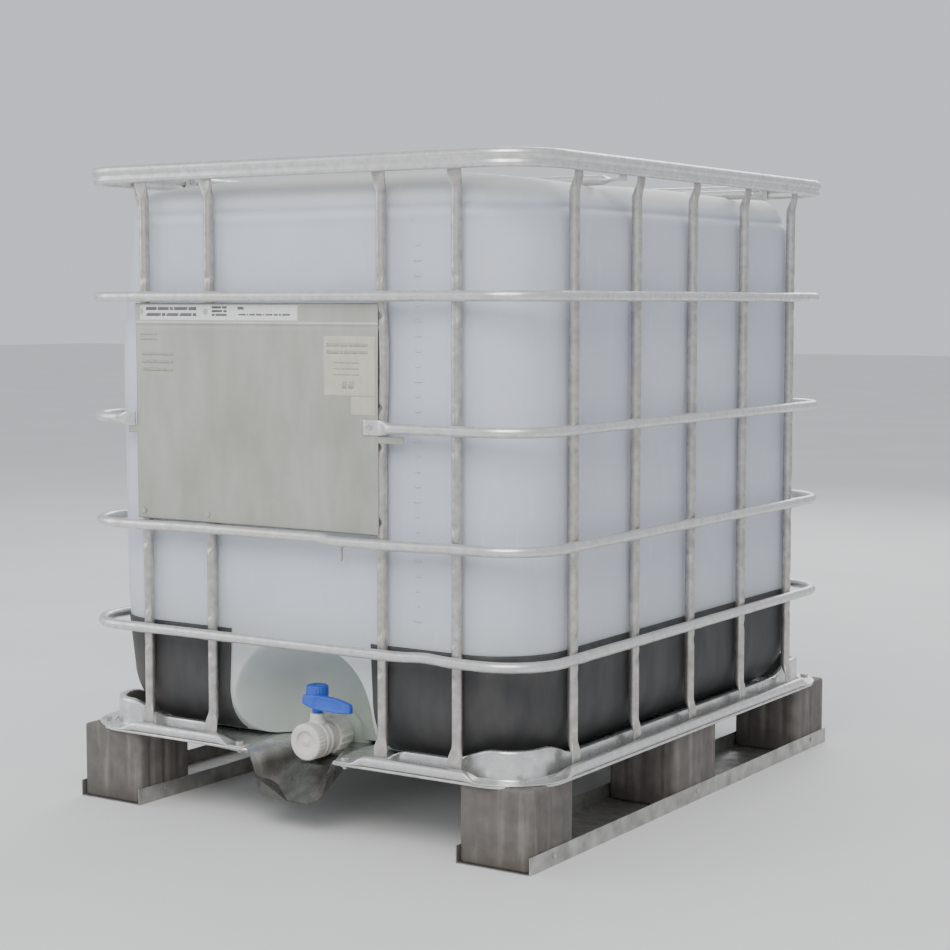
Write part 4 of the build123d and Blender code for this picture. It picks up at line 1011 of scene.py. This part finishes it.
body_profile = [
    (VALVE_BORE, OUTLET_Y + 0.001), (VALVE_BORE, FLANGE_Y[1]), (0.0265, FLANGE_Y[1]),
    (0.0270, FLANGE_Y[1] - 0.0008), (0.0270, FLANGE_Y[0] + 0.0008), (0.0265, FLANGE_Y[0]),
    (0.0252, FLANGE_Y[0] - 0.0006), (0.0250, -0.4800), (0.0250, -0.4990), (0.0256, -0.5012),
    (0.0300, COLLAR_Y[1]), (0.0320, -0.5025), (0.0328, -0.5040), (0.0330, -0.5060), (0.0330, -0.5105),
    (0.0322, -0.5118), (0.0322, -0.5142), (0.0330, -0.5155), (0.0330, -0.5215), (0.0326, -0.5240),
    (0.0312, COLLAR_Y[0]), (0.0297, COLLAR_Y[0]),
]
body_profile += threaded(COLLAR_Y[0] - 0.0005, OUTLET_Y + 0.0008, 0.0295, 3, 0.0012)
body_profile += [
    (0.0286, OUTLET_Y), (0.0220, OUTLET_Y), (0.0211, OUTLET_Y + 0.0004),
]
body_grid = turned(body_profile, 96, axis_point, "y")
neck_profile = [
    (0.0172, 0.1790), (0.0158, 0.1822), (0.0144, 0.1844), (0.0132, 0.1870), (0.0130, 0.1900),
    (0.0130, 0.1962), (0.0127, 0.1974), (0.0118, 0.1980), (0.0078, 0.1980), (0.0072, 0.1976),
    (0.0071, 0.1900), (0.0071, 0.1740),
]
neck_grid = turned(neck_profile, 48, (0.0, STEM_Y, 0.0), "z")
valve = surface("valve_shell", MAIN_BODY, [(body_grid, "ring"), (neck_grid, "caps")], cream_looks)
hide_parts("valve_body")

nut_profile = [
    (0.0275, -0.4475), (0.0280, -0.4465), (0.0300, -0.4460), (0.0308, -0.4465), (0.0310, -0.4480),
    (0.0310, -0.4560), (0.0310, -0.4640), (0.0310, -0.4720), (0.0310, -0.4795), (0.0307, -0.4812),
    (0.0298, -0.4820), (0.0262, -0.4820), (0.0254, -0.4815), (0.0254, -0.4775), (0.0273, -0.4772),
    (0.0273, -0.4600),
]
nut_ribbed = [3 < row < 9 for row in range(len(nut_profile))]
nut_grid = turned(nut_profile, 192, axis_point, "y", 16, 0.0018, nut_ribbed)
nut = surface("nut_shell", MAIN_BODY, [(nut_grid, "ring")], cream_looks)
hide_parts("union_nut")

# The lever: a paddle that thins towards its tip, grown out of a round hub on a sleeve.
# Columns: place along it, top, underside, thickness.
lever_shape = np.array([
    (-0.019, 0.2310, 0.2180, 0.008), (-0.016, 0.2326, 0.2150, 0.012), (-0.010, 0.2330, 0.2124, 0.0136),
    (0.0, 0.2334, 0.2096, 0.014), (0.012, 0.2335, 0.2074, 0.014), (0.026, 0.2332, 0.2064, 0.0138),
    (0.040, 0.2322, 0.2060, 0.0134), (0.054, 0.2308, 0.2058, 0.0130), (0.068, 0.2278, 0.2060, 0.0126),
    (0.078, 0.2250, 0.2064, 0.0122), (0.083, 0.2232, 0.2070, 0.0112), (0.0855, 0.2214, 0.2090, 0.0080),
])
lever_along, lever_top, lever_low, lever_thick = lever_shape.T
fine_along = np.concatenate([
    np.linspace(-0.019, -0.012, 8), np.linspace(-0.010, 0.078, 46), np.linspace(0.0795, 0.0855, 8)
])
top = np.interp(fine_along, lever_along, lever_top)
low = np.interp(fine_along, lever_along, lever_low)
thick = np.interp(fine_along, lever_along, lever_thick)
lever_path = np.stack([fine_along, np.full(len(fine_along), STEM_Y - 0.015), (top + low) / 2], axis=1)
tall = top - low
unmoved = np.zeros(len(tall))
lever_side, lever_up = oval(thick, tall, np.full(len(tall), 5.0), unmoved, unmoved, 40)
hollow = smooth(fine_along, 0.004, 0.012) * (1 - smooth(fine_along, 0.066, 0.076))
inner = smooth(-np.abs(lever_up) / tall[:, None], -0.40, -0.26) * hollow[:, None]
lever_side = lever_side * (1.0 - 0.30 * inner)
lever = carried(lever_path, np.array([0.0, 0.0, 1.0]), lever_side, lever_up, False)
hub_profile = [
    (0.0060, 0.1983), (0.0090, 0.1983), (0.0095, 0.1990), (0.0095, 0.2160), (0.0097, 0.2210),
    (0.0112, 0.2250), (0.0150, 0.2260), (0.0190, 0.2261), (0.0198, 0.2268), (0.0200, 0.2285),
    (0.0200, 0.2330), (0.0200, 0.2375), (0.0200, 0.2420), (0.0198, 0.2450), (0.0191, 0.2470),
    (0.0178, 0.2480), (0.0095, 0.2480), (0.0086, 0.2476), (0.0080, 0.2462), (0.0078, 0.2424),
    (0.0030, 0.2421),
]
hub_ribbed = [8 < row < 13 for row in range(len(hub_profile))]
hub = turned(hub_profile, 120, (0.0, STEM_Y, 0.0), "z", 20, -0.0008, hub_ribbed)
blue_looks = moulded_plastic(
    "blue_lever_plastic", (0.030, 0.115, 0.62), (0.05, 0.08, 0.24), 0.36, 0.60, 420.0
)
handle = surface("lever_and_hub", "valve_handle", [(lever, "caps"), (hub, "caps")], blue_looks)
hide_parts("handle")

rubber_looks = moulded_plastic(
    "black_seal_rubber", (0.035, 0.035, 0.036), (0.10, 0.09, 0.08), 0.60, 0.55, 500.0
)
for node in ("lid_gasket", "cap_gasket", "union_gasket", "stem_seals"):
    dress(node, rubber_looks)
disc_looks = moulded_plastic("grey_disc_plastic", (0.56, 0.55, 0.51), (0.30, 0.28, 0.24), 0.42, 0.60, 380.0)
for node in ("valve_stem", "valve_disc"):
    dress(node, disc_looks)

# --- Fill lid ---------------------------------------------------------------------------------
# Dark red screw lid with grip ribs, a raised rim, and a hexagon for a wrench, dusty on top.

lid_profile = [
    (0.0768, 1.1508), (0.0766, 1.1180), (0.0772, 1.1164), (0.0832, 1.1162), (0.0838, 1.1168),
    (0.0840, 1.1180), (0.0840, 1.1260), (0.0840, 1.1340), (0.0840, 1.1420), (0.0840, 1.1500),
    (0.0838, 1.1530), (0.0830, 1.1554), (0.0815, 1.1566), (0.0790, 1.1568), (0.0768, 1.1562),
    (0.0755, 1.1546), (0.0740, 1.1538), (0.0560, 1.1538), (0.0545, 1.1544), (0.0525, 1.1545),
    (0.0510, 1.1538), (0.0360, 1.1538), (0.0345, 1.1541), (0.0300, 1.1548),
]
lid_ribbed = [4 < row < 10 for row in range(len(lid_profile))]
lid_grid = turned(lid_profile, 320, (0.0, 0.0, 0.0), "z", 32, 0.0017, lid_ribbed)
six = np.linspace(0.0, 2 * math.pi, 96, endpoint=False)
six_radius = 0.0245 / np.cos((six + math.pi / 6) % (math.pi / 3) - math.pi / 6)
hexagon_profile = [
    (1.02, 1.1535), (1.02, 1.1590), (1.0, 1.1612), (0.95, 1.1620), (0.62, 1.1620), (0.58, 1.1612),
    (0.56, 1.1580), (0.10, 1.1575),
]
share, level = np.transpose(hexagon_profile)[:, :, None]
hexagon = np.stack([
    six_radius * np.cos(six) * share, six_radius * np.sin(six) * share, level * np.ones_like(six)
], axis=-1)
red_looks = moulded_plastic(
    "dark_red_lid_plastic", (0.11, 0.030, 0.022), (0.24, 0.19, 0.14), 0.46, 0.50, 300.0
)
lid = surface("lid_shell", "fill_lid", [(lid_grid, "caps"), (hexagon, "caps")], red_looks)
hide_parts("fill_lid")

# --- Feet and runners -------------------------------------------------------------------------
# Blow-moulded blocks, brown-grey with dust, each with shallow upright grooves. They stand in folded
# steel runners that lie on the ground.


def foot(node, grooves):
    """Rounded block in the node's box: its edges are rounded at both ends, and grooves run up each side
    as -deep * cos^8(pi * grooves * k / 2)."""
    low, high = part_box(node)
    half_x, half_y = (high[0] - low[0]) / 2, (high[1] - low[1]) / 2
    middle = np.array([(low[0] + high[0]) / 2, (low[1] + high[1]) / 2, 0.0])
    swing = np.linspace(0.0, math.pi / 2, 6)
    edge = 0.005
    level = np.concatenate([
        [low[2]], low[2] + edge * (1 - np.cos(swing)), np.linspace(low[2] + 0.012, high[2] - 0.012, 16),
        high[2] - edge * (1 - np.sin(swing)), [high[2]],
    ])
    inset = np.concatenate([
        [0.02], edge * (1 - np.sin(swing)), np.zeros(16), edge * (1 - np.cos(swing)), [0.02],
    ])
    places, normals = outline(np.linspace(-1, 1, 40), np.linspace(-1, 1, 40), np.linspace(-1, 1, 40), 8)
    block = ring_points(
        places, normals, half_x - inset, half_y - inset, np.maximum(0.012 - inset, 0.003), level
    )
    along = np.where(np.abs(normals[:, 0]) > 0.5, places[:, 1], places[:, 0])
    groove = np.abs(np.cos(math.pi * grooves * along / 2)) ** 8
    top_fade = 1 - smooth(level, high[2] - 0.022, high[2] - 0.010)
    grooved = smooth(level, low[2] + 0.018, low[2] + 0.034) * top_fade
    relief = -0.0030 * groove[None] * grooved[:, None] * (np.abs(along) < 0.93)[None]
    block[..., :2] += normals[None] * relief[..., None]
    piece = surface(node + "_block", MAIN_BODY, [(block + middle, "caps")], foot_looks)
    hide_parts(node)


def dusty_foot_plastic():
    """Grey-brown plastic, pale dust in upright streaks, and darker towards the ground."""
    looks, tree, shader, place = material("dusty_foot_plastic", 0.70, bump=0.30, bump_scale=260.0)
    grain = noise(tree, place, 34.0, 9.0)
    base = ramp(tree, grain, [(0.3, (0.105, 0.093, 0.084)), (0.7, (0.150, 0.135, 0.122))])
    streak = noise(tree, place, 55.0, 6.0, (1.0, 1.0, 0.10))
    dust = ramp(tree, streak, [(0.54, (0, 0, 0)), (0.80, (0.55, 0.55, 0.55))])
    pale = ramp(tree, grain, [(0.3, (0.24, 0.22, 0.19)), (0.7, (0.36, 0.335, 0.30))])
    tone = mix(tree, dust, base, pale)
    tone = tinted(tree, tone, span(tree, height(tree, place), 0.0, 0.05), [
        (0.0, (0.6, 0.58, 0.55)), (1.0, (1, 1, 1)),
    ])
    tree.links.new(tone, shader.inputs["Base Color"])
    return looks


foot_looks = dusty_foot_plastic()
for node in sorted(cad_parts):
    if node.startswith("foot_") and node != "foot_guard":
        foot(node, 3)
runner_looks = galvanised(
    "dirty_runner_sheet", (0.36, 0.35, 0.33), (0.60, 0.59, 0.56), 0.42, 30.0, warm=(0.26, 0.20, 0.14)
)
for node in ("runner_left", "runner_right", "runner_centre"):
    dress(node, runner_looks)

# --- Stage, lights and camera -----------------------------------------------------------------
# A pale floor, large soft lights, and a long lens at the height of a person's chest, in front of the
# right corner.

floor_mesh = bpy.data.meshes.new("floor")
floor_mesh.from_pydata([(-30, -30, 0), (30, -30, 0), (30, 30, 0), (-30, 30, 0)], [], [(0, 1, 2, 3)])
floor = bpy.data.objects.new("floor", floor_mesh)
bpy.context.scene.collection.objects.link(floor)
floor_looks, floor_tree, floor_shader, floor_place = material("pale_floor", 0.75)
floor_tone = ramp(
    floor_tree, noise(floor_tree, floor_place, 1.5, 5.0),
    [(0.3, (0.74, 0.74, 0.73)), (0.7, (0.79, 0.79, 0.78))],
)
floor_tree.links.new(floor_tone, floor_shader.inputs["Base Color"])
floor_mesh.materials.append(floor_looks)

world = bpy.data.worlds.new("soft_sky")
world.use_nodes = True
world.node_tree.nodes["Background"].inputs["Color"].default_value = (0.90, 0.93, 1.0, 1.0)
world.node_tree.nodes["Background"].inputs["Strength"].default_value = 0.80
bpy.context.scene.world = world


def soft_light(name, place, aim, size, power, colour):
    """Square area light that faces a point."""
    lamp = bpy.data.lights.new(name, "AREA")
    lamp.size = size
    lamp.energy = power
    lamp.color = colour
    light = bpy.data.objects.new(name, lamp)
    light.location = place
    direction = np.asarray(aim) - np.asarray(place)
    light.rotation_euler = facing(direction)
    bpy.context.scene.collection.objects.link(light)


def facing(direction):
    """Euler angles that turn -Z to a direction and keep the horizon level."""
    flat = math.hypot(direction[0], direction[1])
    return (math.pi / 2 + math.atan2(direction[2], flat), 0.0, math.atan2(-direction[0], direction[1]))


middle = (np.asarray(cad_low) + np.asarray(cad_high)) / 2
soft_light("key", (1.6, -4.0, 4.2), middle, 3.2, 200.0, (1.0, 0.98, 0.95))
soft_light("fill", (-4.2, -2.6, 2.2), middle, 3.4, 70.0, (0.93, 0.96, 1.0))
soft_light("back", (-1.0, 4.2, 3.4), middle, 3.0, 110.0, (1.0, 1.0, 1.0))

CAMERA_PLACE = (2.1374, -3.2907, 0.9204)
CAMERA_LENS = 76.0
camera_data = bpy.data.cameras.new("camera")
camera_data.lens = CAMERA_LENS
camera_data.sensor_width = 36.0
camera = bpy.data.objects.new("camera", camera_data)
camera.location = CAMERA_PLACE
camera.rotation_euler = facing(middle - np.asarray(CAMERA_PLACE))
bpy.context.scene.collection.objects.link(camera)
bpy.context.scene.camera = camera
